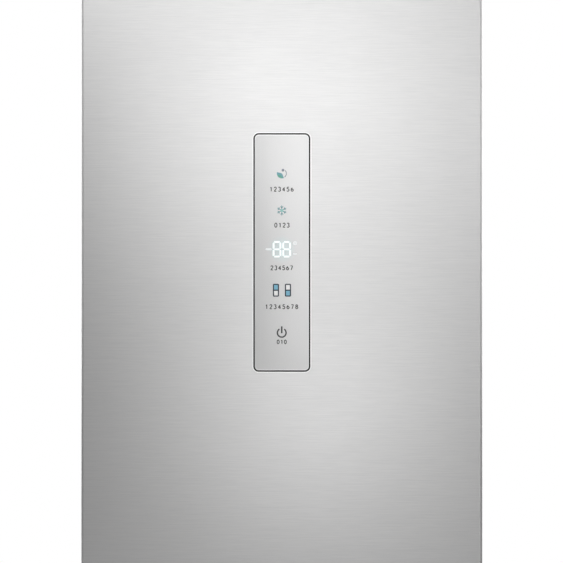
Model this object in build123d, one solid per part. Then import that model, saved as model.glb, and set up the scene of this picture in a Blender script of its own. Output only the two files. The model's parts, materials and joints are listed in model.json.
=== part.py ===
from build123d import *
import os

# Fridge freezer: a tall two-door cabinet with the fridge above and the freezer below.
# Millimetres. X is to the right, the doors face -Y and Z is up. The origin lies on the floor
# under the middle of the whole box.

# Overall size
overall_width = 595.0
overall_height = 2000.0
overall_depth = 600.0

# Cabinet walls
sheet = 1.0
liner_wall = 2.0
base_sheet = 1.5
floor_gap = 22.0
hinge_cover_height = 16.0
rear_spacer_depth = 12.0
fridge_wall = 50.0
freezer_wall = 72.0
back_wall = 50.0
fridge_roof = 56.0
freezer_floor = 60.0
mullion_height = 72.0
front_flange = 40.0
flange_tuck = 8.0
flange_thickness = 2.0
mullion_reveal = 6.0
rail_height = 56.0
liner_radius = 10.0

# Machine bay at the lower back
bay_depth = 200.0
bay_height = 210.0
bay_insulation = 45.0

# Doors
door_thickness = 56.0
gasket_gap = 12.0
door_gap = 8.0
door_clearance = 22.0
lower_door_height = 700.0
door_top_gap = 2.0
skin = 0.8
skin_return = 14.0
skin_radius = 3.0
grip_reveal = 14.0
grip_depth = 36.0
grip_side = 70.0
grip_lip = 4.0
grip_reach = 34.0
cap_height = 48.0
cap_wall = 3.0
cap_flange = 2.0

# Hinges
hinge_inset = 22.0
hinge_setback = 26.0
pin_radius = 5.0
pin_length = 18.0
boss_radius = 12.0

# Fits
pin_fit = 0.08
running_gap = 0.3
overrun = 4.0

# Control panel in the upper door
panel_width = 84.5
panel_height = 354.0
panel_radius = 8.0
panel_drop = 562.0
panel_gap = 2.2
panel_recess = 1.0
fascia_thickness = 3.0

# Places worked out from the sizes above
half_width = overall_width / 2
door_front = -overall_depth / 2
door_back = door_front + door_thickness
cabinet_front = door_back + gasket_gap
cabinet_back = overall_depth / 2 - rear_spacer_depth
cabinet_top = overall_height - hinge_cover_height
lower_door_low = floor_gap + door_clearance
lower_door_high = lower_door_low + lower_door_height
upper_door_low = lower_door_high + door_gap
upper_door_high = cabinet_top - door_top_gap
panel_centre_height = upper_door_high - panel_drop
split_height = lower_door_high + door_gap / 2
hinge_x = half_width - hinge_inset
hinge_y = door_front + hinge_setback
inside_half = half_width - sheet
inside_back = cabinet_back - sheet
fridge_half = half_width - fridge_wall
fridge_low = split_height + mullion_height / 2
fridge_high = cabinet_top - fridge_roof
freezer_half = half_width - freezer_wall
freezer_low = floor_gap + freezer_floor
freezer_high = split_height - mullion_height / 2
liner_back = cabinet_back - back_wall
bay_front = cabinet_back - bay_depth
bay_floor = floor_gap + base_sheet
bay_roof = floor_gap + bay_height
step_height = bay_roof + bay_insulation
step_back = bay_front - bay_insulation
flange_inner = half_width - front_flange
flange_low_edge = cabinet_top - front_flange
rail_top = floor_gap + rail_height
mullion_plate_half = mullion_height / 2 - mullion_reveal
liner_front = cabinet_front + sheet
duct_depth = 40.0
duct_front = liner_back - duct_depth
shroud_depth = 74.0
shroud_front = liner_back - shroud_depth


# Shapes used by many pieces
def block(x, y, z):
    """Box between a low and a high limit on each axis."""
    size = [high - low for low, high in (x, y, z)]
    return Pos(x[0], y[0], z[0]) * Box(*size, align=(Align.MIN,) * 3)


def rounded(x, y, z, radius, axis):
    """Box with the four edges along one axis rounded."""
    return fillet(block(x, y, z).edges().filter_by(axis), radius)


def both(half):
    """Limits from minus a half width to plus it."""
    return (-half, half)


def rod(x, y, z, radius):
    """Cylinder along the axis whose limits are a pair; the other two places are numbers."""
    turns = (Rot(0, 90, 0), Rot(-90, 0, 0), Rot(0, 0, 0))
    along = next(i for i, v in enumerate((x, y, z)) if isinstance(v, tuple))
    low, high = (x, y, z)[along]
    start = [v[0] if isinstance(v, tuple) else v for v in (x, y, z)]
    bottom = (Align.CENTER, Align.CENTER, Align.MIN)
    return Pos(*start) * turns[along] * Cylinder(radius, high - low, align=bottom)


def joined(pieces):
    """One shape from several that touch."""
    pieces = list(pieces)
    return pieces[0] + pieces[1:] if len(pieces) > 1 else pieces[0]


def group(parts):
    """Separate solids kept together as one piece."""
    return Compound([solid for part in parts for solid in part.solids()])


def tray(x, y, z, wall, radius):
    """Open-topped box with rounded upright edges and an even wall."""
    outer = rounded(x, y, z, radius, Axis.Z)
    inner = rounded((x[0] + wall, x[1] - wall), (y[0] + wall, y[1] - wall),
                    (z[0] + wall, z[1] + wall), radius - wall, Axis.Z)
    return outer - inner


os.makedirs("parts", exist_ok=True)
pieces = {}

# Screws that hold the hinges to the cabinet
screw_radius = 2.0
screw_head_radius = 4.5
screw_head_height = 2.0
screw_length = 14.0
hinge_plate = 3.0
hinge_tongue = 4.0
hinge_foot_width = 80.0
hinge_foot_height = 19.0
hinge_screw_spacing = 30.0
hinge_screw_start = 60.0
top_screw_spacing = 40.0
top_screw_start = 60.0


def screw(place, outward):
    """Round-headed screw whose head sits on the surface at a place and points outward."""
    plane = Plane(origin=place, z_dir=outward)
    bottom = (Align.CENTER, Align.CENTER, Align.MIN)
    head = Cylinder(screw_head_radius, screw_head_height, align=bottom)
    shank = Pos(0, 0, -screw_length) * Cylinder(screw_radius, screw_length, align=bottom)
    return plane * head, plane * shank


def hinge_screws():
    """Heads and shanks of every screw in the three hinges."""
    places = []
    front = cabinet_front - hinge_plate
    for height in (floor_gap + hinge_foot_height / 2, split_height):
        for turn in range(2):
            x = half_width - hinge_screw_start - turn * hinge_screw_spacing
            places.append(((x, front, height), (0, -1, 0)))
    for turn in range(3):
        y = cabinet_front + top_screw_start + (turn - 1) * top_screw_spacing / 2
        x = hinge_x - (turn % 2) * top_screw_spacing / 2
        places.append(((x, y, cabinet_top + hinge_plate), (0, 0, 1)))
    heads, shanks = zip(*[screw(place, outward) for place, outward in places])
    return list(heads), list(shanks)


screw_heads, screw_shanks = hinge_screws()
pieces["cabinet_screws"] = group(head + shank for head, shank in zip(screw_heads, screw_shanks))


# Cavities of the two rooms
def fridge_cavity(grow):
    """Space inside the fridge liner, grown outwards by an even amount."""
    space = block(both(fridge_half + grow), (liner_front - overrun, liner_back + grow),
                  (fridge_low - grow, fridge_high + grow))
    edges = space.edges().filter_by(lambda e: e.center().Y > liner_front)
    return fillet(edges, liner_radius + grow)


def freezer_cavity(grow):
    """Space inside the freezer liner with its step over the machine bay, grown evenly."""
    outline = Polyline((liner_front - overrun, freezer_low - grow),
                       (step_back + grow, freezer_low - grow),
                       (step_back + grow, step_height - grow),
                       (liner_back + grow, step_height - grow),
                       (liner_back + grow, freezer_high + grow),
                       (liner_front - overrun, freezer_high + grow), close=True)
    half = freezer_half + grow
    space = extrude(Plane.YZ * make_face(outline), half, both=True)
    edges = space.edges().filter_by(lambda e: e.center().Y > liner_front)
    return fillet(edges, liner_radius + grow)


def liner_flange(low, high, low_tuck, high_tuck):
    """Front flange of a liner, tucked behind the steel round the opening."""
    reach = flange_inner + flange_tuck
    return block(both(reach), (liner_front, liner_front + flange_thickness),
                 (low - low_tuck, high + high_tuck))


fridge_flange = liner_flange(fridge_low, fridge_high, mullion_reveal + flange_tuck,
                             flange_low_edge - fridge_high + flange_tuck)
freezer_flange = liner_flange(freezer_low, freezer_high, freezer_low - rail_top + flange_tuck,
                              mullion_reveal + flange_tuck)

# Ledges and ribs that the liners carry
ledge_depth = 12.0
ledge_height = 6.0
ledge_setback = 111.0
ledge_back_gap = 4.0
ledge_front = liner_front + ledge_setback
ledge_back = duct_front - ledge_back_gap
shelf_thickness = 4.0
crisper_room = 206.0
# Places of the shelves, as shares of the room between the crisper and the ceiling
shelf_shares = (0.0, 0.2239, 0.4691, 0.7356)
lowest_shelf = fridge_low + crisper_room
shelf_heights = [lowest_shelf + share * (fridge_high - lowest_shelf) for share in shelf_shares]
floor_rib = 2.0
floor_rib_width = 8.0
drawer_ledge_depth = 26.0
drawer_ledge_height = 6.0
drawer_setback = 39.0
drawer_headroom = 16.0
drawer_back_gap = 4.0
drawer_step_gap = 9.0
drawer_ledge_short = 10.0
drawer_step_lift = 17.3
# Place of the third drawer's floor, as a share of the room above the second one's
third_drawer_share = 0.5123
lowest_drawer = freezer_low + drawer_ledge_height
second_drawer = step_height + drawer_step_lift
third_drawer = second_drawer + third_drawer_share * (freezer_high - second_drawer)
drawer_floors = [lowest_drawer, second_drawer, third_drawer]
drawer_front = door_back + drawer_setback
upper_drawer_back = shroud_front - drawer_back_gap
drawer_backs = (step_back - drawer_step_gap, upper_drawer_back, upper_drawer_back)

# Damper passage through the mullion, from the freezer duct to the fridge duct
passage_half = 50.0
passage_setback = 6.0
passage_depth = 30.0
passage_back = liner_back - passage_setback
passage_front = passage_back - passage_depth

# Pockets that the front feet turn up into
foot_stud_radius = 5.0
foot_pocket_radius = 9.0
foot_pocket_height = 34.0
foot_inset = 47.5
foot_setback = 31.0
foot_x = half_width - foot_inset
foot_y = liner_front + foot_setback


def passage():
    """Shaft that cold air takes from the freezer up to the fridge."""
    return block(both(passage_half), (passage_front, passage_back),
                 (freezer_high - overrun, fridge_low + overrun))


def fridge_liner():
    """White inner shell of the fridge with shelf ledges and floor ribs."""
    shell = fridge_cavity(liner_wall) - fridge_cavity(0)
    shell = shell & block(both(half_width), (liner_front, cabinet_back), (fridge_low - liner_wall,
                                                                           fridge_high + liner_wall))
    flange = fridge_flange - fridge_cavity(0)
    ledges = []
    for height in shelf_heights:
        ledge = block((fridge_half - ledge_depth, fridge_half), (ledge_front, ledge_back),
                      (height - ledge_height, height))
        ledges += [ledge, mirror(ledge, Plane.YZ)]
    ribs = []
    for side in (-1, 1):
        middle = side * (fridge_half / 2)
        ribs.append(block((middle - floor_rib_width / 2, middle + floor_rib_width / 2),
                          (ledge_front, ledge_back), (fridge_low, fridge_low + floor_rib)))
    inner = joined(ledges + ribs) & fridge_cavity(0)
    return joined([shell, flange, inner]) - passage() - screw_shanks


def freezer_liner():
    """White inner shell of the freezer with drawer ledges."""
    shell = freezer_cavity(liner_wall) - freezer_cavity(0)
    shell = shell & block(both(half_width), (liner_front, cabinet_back), (freezer_low - liner_wall,
                                                                           freezer_high + liner_wall))
    flange = freezer_flange - freezer_cavity(0)
    ledges = []
    for floor, back in zip(drawer_floors, drawer_backs):
        top = floor - running_gap
        ledge = block((freezer_half - drawer_ledge_depth, freezer_half),
                      (drawer_front, back - drawer_ledge_short), (top - drawer_ledge_height, top))
        ledges += [ledge, mirror(ledge, Plane.YZ)]
    inner = joined(ledges) & freezer_cavity(0)
    return joined([shell, flange, inner]) - passage() - screw_shanks


def cabinet_wrap():
    """Steel sheet round the sides and top with its front flange."""
    outer = block(both(half_width), (cabinet_front, inside_back), (floor_gap, cabinet_top))
    inner = block(both(inside_half), (liner_front, cabinet_back), (floor_gap - overrun, cabinet_top - sheet))
    opening = block(both(flange_inner), (cabinet_front - overrun, cabinet_back),
                    (floor_gap - overrun, flange_low_edge))
    return outer - inner - opening - screw_shanks


def mullion_plate():
    """Steel strip across the front between the two rooms."""
    strip = block(both(flange_inner), (cabinet_front, liner_front),
                  (split_height - mullion_plate_half, split_height + mullion_plate_half))
    return strip - screw_shanks


# Roller brackets stand in the machine bay, behind the foam
roller_radius = 10.0
roller_width = 14.0
roller_axle_radius = 3.0
roller_inset = 42.5
roller_setback = 48.0
roller_x = half_width - roller_inset
roller_y = cabinet_back - roller_setback
bracket_sheet = 2.0
bracket_half_length = 12.0
bracket_gap = 1.0


def bracket_plates():
    """Two upright ears at each rear roller, with holes for its axle."""
    ears = []
    for side in (-1, 1):
        for edge in (-1, 1):
            inner = roller_width / 2 + bracket_gap
            span = sorted((edge * inner, edge * (inner + bracket_sheet)))
            x = (side * roller_x + span[0], side * roller_x + span[1])
            ears.append(rounded(x, (roller_y - bracket_half_length, roller_y + bracket_half_length),
                                (roller_axle_radius, floor_gap), 2 * bracket_sheet, Axis.X))
    return ears


def base_plate():
    """Steel floor of the cabinet with the front rail, bay cheeks and roller brackets."""
    floor = block(both(inside_half), (liner_front, inside_back), (floor_gap, bay_floor))
    rail = block(both(flange_inner), (cabinet_front, liner_front), (floor_gap, rail_top))
    cheek = block((inside_half - base_sheet, inside_half), (bay_front + sheet, inside_back),
                  (bay_floor, bay_roof - sheet))
    plate = joined([floor, rail, cheek, mirror(cheek, Plane.YZ)])
    for side in (-1, 1):
        plate -= rod(side * foot_x, foot_y, (floor_gap - overrun, floor_gap + overrun),
                     foot_stud_radius + running_gap)
    plate = joined([plate] + bracket_plates())
    for side in (-1, 1):
        plate -= rod((side * roller_x - roller_width, side * roller_x + roller_width), roller_y,
                     roller_radius, roller_axle_radius + pin_fit)
    return plate - screw_shanks


def rear_panel():
    """Folded back sheet: the back, the bay's roof and the bay's front wall."""
    back = block(both(half_width), (inside_back, cabinet_back), (bay_roof, cabinet_top))
    roof = block(both(inside_half), (bay_front, cabinet_back), (bay_roof - sheet, bay_roof))
    wall = block(both(inside_half), (bay_front, bay_front + sheet), (bay_floor, bay_roof))
    return joined([back, roof, wall])


def cabinet_foam():
    """Insulating foam that fills the walls of the cabinet."""
    body = block(both(inside_half), (liner_front, inside_back), (bay_floor, cabinet_top - sheet))
    body -= block(both(half_width), (bay_front, cabinet_back), (floor_gap, bay_roof))
    body -= fridge_cavity(liner_wall)
    body -= freezer_cavity(liner_wall)
    body -= fridge_flange
    body -= freezer_flange
    body -= passage()
    for side in (-1, 1):
        body -= rod(side * foot_x, foot_y, (floor_gap, floor_gap + foot_pocket_height), foot_pocket_radius)
    return body - screw_shanks


pieces["cabinet_wrap"] = cabinet_wrap()
pieces["rear_panel"] = rear_panel()
pieces["base_plate"] = base_plate()
pieces["cabinet_foam"] = cabinet_foam()
pieces["fridge_liner"] = fridge_liner()
pieces["freezer_liner"] = freezer_liner()
pieces["mullion_plate"] = mullion_plate()

# Hinges
hinge_side_gap = 0.5
tongue_half = 12.0
top_plate_half = 36.0
top_plate_length = 90.0
top_plate_back = cabinet_front + top_plate_length
cover_wall = 2.0
cover_half_width = 58.0
cover_overlap = 12.0
cover_back = top_plate_back + cover_overlap
cover_radius = 10.0


def hinge_foot(low, high):
    """Upright plate of a lower hinge, screwed to the front of the cabinet."""
    right = half_width - hinge_side_gap
    return rounded((right - hinge_foot_width - tongue_half, right),
                   (cabinet_front - hinge_plate, cabinet_front), (low, high), cover_wall, Axis.Y)


def hinge_arm(low, high, front, back):
    """Flat arm whose round end carries the pins."""
    arm = block((hinge_x - tongue_half, hinge_x + tongue_half), (front, back), (low, high))
    return arm + rod(hinge_x, front, (low, high), tongue_half)


def middle_hinge():
    """Hinge between the doors, with a pin up and a pin down."""
    low = split_height - hinge_tongue / 2
    high = split_height + hinge_tongue / 2
    foot = hinge_foot(split_height - hinge_foot_height / 2, split_height + hinge_foot_height / 2)
    pin = rod(hinge_x, hinge_y, (low - pin_length, high + pin_length), pin_radius)
    return foot + hinge_arm(low, high, hinge_y, cabinet_front - hinge_plate) + pin - screw_shanks


def bottom_hinge():
    """Hinge under the lower door, with one pin up."""
    high = lower_door_low - hinge_tongue
    foot = hinge_foot(floor_gap, floor_gap + hinge_foot_height)
    arm = hinge_arm(high - hinge_tongue, high, hinge_y, cabinet_front - hinge_plate)
    pin = rod(hinge_x, hinge_y, (high, lower_door_low + pin_length), pin_radius)
    return foot + arm + pin - screw_shanks


def top_hinge():
    """Plate on the cabinet top with one pin down into the upper door."""
    low = cabinet_top
    arm = hinge_arm(low, low + hinge_plate, hinge_y, cabinet_front)
    plate = rounded((half_width - hinge_inset - top_plate_half, half_width - cover_wall - hinge_side_gap),
                    (cabinet_front, top_plate_back), (low, low + hinge_plate), cover_wall, Axis.Z)
    pin = rod(hinge_x, hinge_y, (upper_door_high - pin_length, low + hinge_plate), pin_radius)
    return arm + plate + pin - screw_shanks


def top_hinge_cover():
    """Plastic lid over the top hinge."""
    x = (half_width - 2 * cover_half_width, half_width)
    outer = rounded(x, (door_front, cover_back), (cabinet_top, overall_height), cover_radius, Axis.Z)
    outer = chamfer(outer.faces().sort_by(Axis.Z)[-1].edges(), cover_wall)
    inner = block((x[0] + cover_wall, x[1] - cover_wall), (door_front + cover_wall, cover_back - cover_wall),
                  (cabinet_top - overrun, overall_height - cover_wall))
    inner = fillet(inner.edges().filter_by(Axis.Z), cover_radius - cover_wall)
    return outer - inner


pieces["middle_hinge"] = middle_hinge()
pieces["bottom_hinge"] = bottom_hinge()
pieces["top_hinge"] = top_hinge()
pieces["top_hinge_cover"] = top_hinge_cover()

# Door shells
plate_front = door_back - skin - liner_wall
door_inner_half = half_width - skin
door_inner_front = door_front + skin
dyke_side_gap = 12.5
dyke_half = fridge_half - dyke_side_gap
dyke_bar = 26.0
dyke_depth = 45.0
dyke_radius = 20.0
dyke_crest_radius = 5.0
dyke_margin = 10.0
pad_side_gap = 10.5
pad_half = freezer_half - pad_side_gap
pad_margin = 12.0
pad_depth = 20.0
gasket_edge = 25.5
gasket_half = half_width - gasket_edge
gasket_width = 20.0
gasket_inset = 8.0
gasket_inset_foot = 12.0
gasket_foot_depth = 5.0
gasket_radius = 4.0


class Door:
    """Limits of one door, and which end has the finger grip."""

    def __init__(self, low, high, grip_low):
        self.low = low
        self.high = high
        self.grip_low = grip_low
        self.skin_low = low + (grip_reveal if grip_low else cap_flange)
        self.skin_high = high - (cap_flange if grip_low else grip_reveal)

    def skin(self):
        """Folded steel front with sides and returns."""
        z = (self.skin_low, self.skin_high)
        outer = block(both(half_width), (door_front, door_back), z)
        front_edges = outer.edges().filter_by(Axis.Z).filter_by(lambda e: e.center().Y < hinge_y)
        outer = fillet(front_edges, skin_radius)
        wide = (z[0] - overrun, z[1] + overrun)
        inner = block(both(door_inner_half), (door_inner_front, door_back - skin), wide)
        front_edges = inner.edges().filter_by(Axis.Z).filter_by(lambda e: e.center().Y < hinge_y)
        inner = fillet(front_edges, skin_radius - skin)
        mouth = block(both(half_width - skin_return), (door_inner_front + door_thickness / 2,
                                                       door_back + overrun), wide)
        return outer - inner - mouth

    def filling(self, low, high):
        """Everything inside the folded skin between two heights."""
        space = block(both(door_inner_half), (door_inner_front, plate_front), (low, high))
        front_edges = space.edges().filter_by(Axis.Z).filter_by(lambda e: e.center().Y < hinge_y)
        return fillet(front_edges, skin_radius - skin)

    def grip(self, grow):
        """Finger pocket at the grip end, grown for its wall."""
        half = half_width - grip_side + grow
        back = door_front + grip_reach + grow
        deep = (door_front + grip_lip - grow, back)
        if self.grip_low:
            z = (self.low, self.low + grip_depth + grow)
        else:
            z = (self.high - grip_depth - grow, self.high)
        return block(both(half), deep, z)

    def grip_mouth(self):
        """Opening in front of the pocket where the skin stops short."""
        half = half_width - grip_side
        z = (self.low, self.skin_low) if self.grip_low else (self.skin_high, self.high)
        return block(both(half), (door_front, door_front + grip_reach), z)

    def cap(self, at_low):
        """Hollow plastic end of the door with a boss for the hinge pin at both sides."""
        if at_low:
            flush = (self.low, self.skin_low)
            fill = (self.skin_low, self.low + cap_height)
            hollow = (self.low + cap_wall, self.low + cap_height + overrun)
            bore = (self.low, self.low + pin_length + overrun / 2)
        else:
            flush = (self.skin_high, self.high)
            fill = (self.high - cap_height, self.skin_high)
            hollow = (self.high - cap_height - overrun, self.high - cap_wall)
            bore = (self.high - pin_length - overrun / 2, self.high)
        rim = block(both(half_width), (door_front, door_back - skin), flush)
        rim = fillet(rim.edges().filter_by(Axis.Z), skin_radius)
        body = rim + self.filling(*fill)
        inside = block(both(door_inner_half - cap_wall),
                       (door_inner_front + cap_wall, plate_front - cap_wall), hollow)
        body -= inside
        low = min(flush[0], fill[0])
        high = max(flush[1], fill[1])
        boss = rod(hinge_x, hinge_y, (low, high), boss_radius)
        body += [boss, mirror(boss, Plane.YZ)]
        if at_low == self.grip_low:
            body += self.grip(cap_wall)
            body -= self.grip(0)
            body -= self.grip_mouth()
        hole = rod(hinge_x, hinge_y, bore, pin_radius + pin_fit)
        return body - [hole, mirror(hole, Plane.YZ)]

    def liner_outline(self):
        """Flat plate that closes the back of the door."""
        return block(both(door_inner_half), (plate_front, plate_front + liner_wall),
                     (self.skin_low, self.skin_high))

    def gasket(self):
        """Soft magnetic seal, a flat frame with a wide head and a narrow foot."""
        parts = []
        foot_back = door_back - skin
        head_back = foot_back + gasket_foot_depth
        for inset, y in ((gasket_inset_foot, (foot_back, head_back)),
                         (gasket_inset, (head_back, cabinet_front - running_gap))):
            half = gasket_half - (inset - gasket_inset)
            bar = gasket_width - 2 * (inset - gasket_inset)
            low = self.low + inset
            high = self.high - inset
            frame = rounded(both(half), y, (low, high), gasket_radius, Axis.Y)
            frame -= rounded(both(half - bar), (y[0] - overrun, y[1] + overrun), (low + bar, high - bar),
                             gasket_radius / 2, Axis.Y)
            parts.append(frame)
        return joined(parts)


upper_door = Door(upper_door_low, upper_door_high, True)
lower_door = Door(lower_door_low, lower_door_high, False)


# Inner faces of the doors
dyke_low = fridge_low + dyke_margin
dyke_high = fridge_high - dyke_margin


def dyke(grow):
    """Raised ring that holds the door bins, shrunk for the foam inside it by a negative amount."""
    y = (plate_front, door_back - skin + dyke_depth + grow)
    outer = rounded(both(dyke_half + grow), y, (dyke_low - grow, dyke_high + grow), dyke_radius, Axis.Y)
    crest = outer.faces().sort_by(Axis.Y)[-1].edges()
    outer = fillet(crest, dyke_crest_radius)
    inner = rounded(both(dyke_half - dyke_bar - grow), (y[0] - overrun, y[1] + overrun),
                    (dyke_low + dyke_bar + grow, dyke_high - dyke_bar - grow), dyke_radius / 2, Axis.Y)
    return outer - inner


def pad(grow):
    """Raised middle of the lower door's liner."""
    y = (plate_front, door_back - skin + pad_depth + grow)
    low = freezer_low + pad_margin - grow
    high = freezer_high - pad_margin + grow
    shape = rounded(both(pad_half + grow), y, (low, high), dyke_radius, Axis.Y)
    return fillet(shape.faces().sort_by(Axis.Y)[-1].edges(), dyke_crest_radius)


# Places of the bin floors, as shares of the room inside the ring
bin_floor_shares = (0.0, 0.2706, 0.5174, 0.7459)
bin_floor_gap = 4.0
lowest_bin = dyke_low + dyke_bar + bin_floor_gap
bin_floors = [lowest_bin + share * (dyke_high - lowest_bin) for share in bin_floor_shares]
bin_heights = (130.0, 85.0, 85.0, 85.0)
bin_back_gap = 4.0
bin_back = door_back + bin_back_gap
bin_depth = 104.0
bin_wall = 2.2
bin_radius = 14.0
lug_width = 7.0
lug_height = 14.0
lug_depth = 10.0
lug_setback = 22.0
lug_y = door_back + lug_setback
lug_drop = 20.0
ear_thickness = 8.0
ear_depth = 26.0
ear_height = 34.0
ear_gap = 1.0
bin_half = dyke_half - dyke_bar - ear_gap - ear_thickness


def lug_top(floor, height):
    """Height of the top of the lugs that carry a bin."""
    return floor + height - lug_drop


def bin_lugs(grow):
    """Pegs on the inner sides of the ring, one pair for each bin."""
    lugs = []
    reach = dyke_half - dyke_bar
    for floor, height in zip(bin_floors, bin_heights):
        top = lug_top(floor, height)
        lug = rounded((reach - lug_width - grow, reach + liner_wall / 2),
                      (lug_y - lug_depth / 2 - grow, lug_y + lug_depth / 2 + grow),
                      (top - lug_height - grow, top + grow), liner_wall, Axis.X)
        lugs += [lug, mirror(lug, Plane.YZ)]
    return lugs


def upper_door_liner():
    """Formed plastic back of the upper door with its ring and bin pegs."""
    shell = upper_door.liner_outline() + dyke(0)
    shell -= dyke(-liner_wall)
    return joined([shell] + bin_lugs(0))


def lower_door_liner():
    """Formed plastic back of the lower door with a raised middle."""
    return lower_door.liner_outline() + pad(0) - pad(-liner_wall)



# Control panel in the upper door
tub_wall = 2.0
tub_depth = 18.0
tub_ledge = 3.7
board_sheet = 1.6
board_inset = 5.0
board_setback = 6.0
post_radius = 3.0
post_rows = 3
digit_width = 12.0
digit_height = 23.4
digit_pitch = 14.4
digit_stroke = 1.8
digit_gap = 0.5
digit_lift = 4.7
sign_length = 8.0
sign_offset = 19.6
degree_size = 5.0
degree_offset = 19.6
mark_drop = 6.8
chip_half = 6.6
chip_height = 12.0
chip_drop = 36.0
post_margin = 10.0
panel_half_width = panel_width / 2
panel_half_height = panel_height / 2
fascia_front = door_front + panel_recess
fascia_back = fascia_front + fascia_thickness
tub_back = door_inner_front + tub_depth
board_front = fascia_back + board_setback
display_middle = panel_centre_height + digit_lift
degree_height = display_middle + digit_height / 2 - degree_size / 2
degree_hole_radius = degree_size / 2 - digit_stroke / 2


def panel_outline(grow, y):
    """Rounded upright shape of the panel between two depths, grown by an even amount."""
    radius = max(panel_radius + grow, tub_wall)
    z = (panel_centre_height - panel_half_height - grow, panel_centre_height + panel_half_height + grow)
    return rounded(both(panel_half_width + grow), y, z, radius, Axis.Y)


def digit(centre):
    """Seven bars of one figure, each a bar with a small gap to the next."""
    bar = digit_stroke / 2
    half = digit_width / 2 - bar
    reach = digit_height / 2 - bar
    y = (fascia_front, board_front)
    bars = []
    for level in (display_middle - reach, display_middle, display_middle + reach):
        bars.append(block((centre - half + bar + digit_gap, centre + half - bar - digit_gap), y,
                          (level - bar, level + bar)))
    for side in (centre - half, centre + half):
        for level in (display_middle - reach / 2, display_middle + reach / 2):
            span = reach / 2 - bar - digit_gap
            bars.append(block((side - bar, side + bar), y, (level - span, level + span)))
    return bars


def light_guides():
    """Every clear bar of the display: two figures, a minus sign, a ring and a short mark."""
    y = (fascia_front, board_front)
    bars = digit(-digit_pitch / 2) + digit(digit_pitch / 2)
    half = digit_stroke / 2
    bars.append(block((-sign_offset - sign_length / 2, -sign_offset + sign_length / 2), y,
                      (display_middle - half, display_middle + half)))
    ring = rod(degree_offset, y, degree_height, degree_size / 2)
    hole = rod(degree_offset, (y[0] - overrun, y[1] + overrun), degree_height, degree_hole_radius)
    bars.append(ring - hole)
    mark = display_middle - mark_drop
    bars.append(block((degree_offset - degree_size / 2, degree_offset + degree_size / 2), y,
                      (mark - half / 2, mark + half / 2)))
    return bars


guides = light_guides()


def panel_fascia():
    """Flat front plate of the panel with the display's bars cut through it."""
    plate = panel_outline(-panel_gap, (fascia_front, fascia_back))
    core = rod(degree_offset, (fascia_front, board_front), degree_height, degree_hole_radius)
    return plate - guides - core


def display_segments():
    """Clear light guides from the board to the front of the fascia."""
    core = rod(degree_offset, (board_front - board_sheet, board_front), degree_height, degree_hole_radius)
    return group(guides[:-2] + [guides[-2] + core, guides[-1]])


def display_board():
    """Circuit board behind the fascia with its lamps and chips."""
    y = (board_front, board_front + board_sheet)
    half_height = panel_half_height - board_inset
    board = block(both(panel_half_width - board_inset), y,
                  (panel_centre_height - half_height, panel_centre_height + half_height))
    chip_top = panel_centre_height - chip_drop
    return board + block(both(chip_half), (y[1], y[1] + board_sheet), (chip_top - chip_height, chip_top))


def panel_housing():
    """Tub behind the skin that holds the board and carries the fascia on a ledge."""
    outer = panel_outline(tub_wall, (door_inner_front, tub_back))
    inner = panel_outline(-tub_ledge, (fascia_back, tub_back - tub_wall))
    mouth = panel_outline(0, (door_inner_front - overrun, fascia_back))
    tub = outer - inner - mouth
    posts = []
    span = panel_half_height - post_margin
    for row in range(post_rows):
        z = panel_centre_height - span + row * 2 * span / (post_rows - 1)
        for side in (-1, 1):
            x = side * (panel_half_width - post_margin - post_radius)
            posts.append(rod(x, (board_front + board_sheet, tub_back - tub_wall), z, post_radius))
    return joined([tub] + posts)


pieces["panel_fascia"] = panel_fascia()
pieces["display_segments"] = display_segments()
pieces["display_board"] = display_board()
pieces["panel_housing"] = panel_housing()

# The two doors
upper_bottom_cap = upper_door.cap(True)
upper_top_cap = upper_door.cap(False)
lower_bottom_cap = lower_door.cap(True)
lower_top_cap = lower_door.cap(False)


def door_foam(door, caps, raised):
    """Insulating foam that fills one door and the raised form on its back."""
    body = door.filling(door.low + cap_wall, door.high - cap_wall)
    body = body - caps - door.grip(0) - door.grip_mouth()
    body -= [rod(side * hinge_x, hinge_y, (door.low, door.high), boss_radius) for side in (-1, 1)]
    between = (door.low + cap_height, door.high - cap_height)
    body += [rod(side * hinge_x, hinge_y, between, boss_radius) for side in (-1, 1)]
    return body + raised


panel_window = panel_outline(0, (door_front - overrun, door_inner_front + overrun))
pieces["upper_door_skin"] = upper_door.skin() - panel_window
pieces["upper_door_liner"] = upper_door_liner()
pieces["upper_door_foam"] = (
    door_foam(upper_door, [upper_bottom_cap, upper_top_cap], dyke(-liner_wall))
    - panel_outline(tub_wall, (door_inner_front - overrun, tub_back)))
pieces["upper_door_top_cap"] = upper_top_cap
pieces["upper_door_bottom_cap"] = upper_bottom_cap
pieces["upper_door_gasket"] = upper_door.gasket()
pieces["lower_door_skin"] = lower_door.skin()
pieces["lower_door_liner"] = lower_door_liner()
pieces["lower_door_foam"] = door_foam(lower_door, [lower_bottom_cap, lower_top_cap], pad(-liner_wall))
pieces["lower_door_top_cap"] = lower_top_cap
pieces["lower_door_bottom_cap"] = lower_bottom_cap
pieces["lower_door_gasket"] = lower_door.gasket()


# Bins on the inside of the upper door
bin_rim = 3.0
bin_rim_height = 6.0


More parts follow.
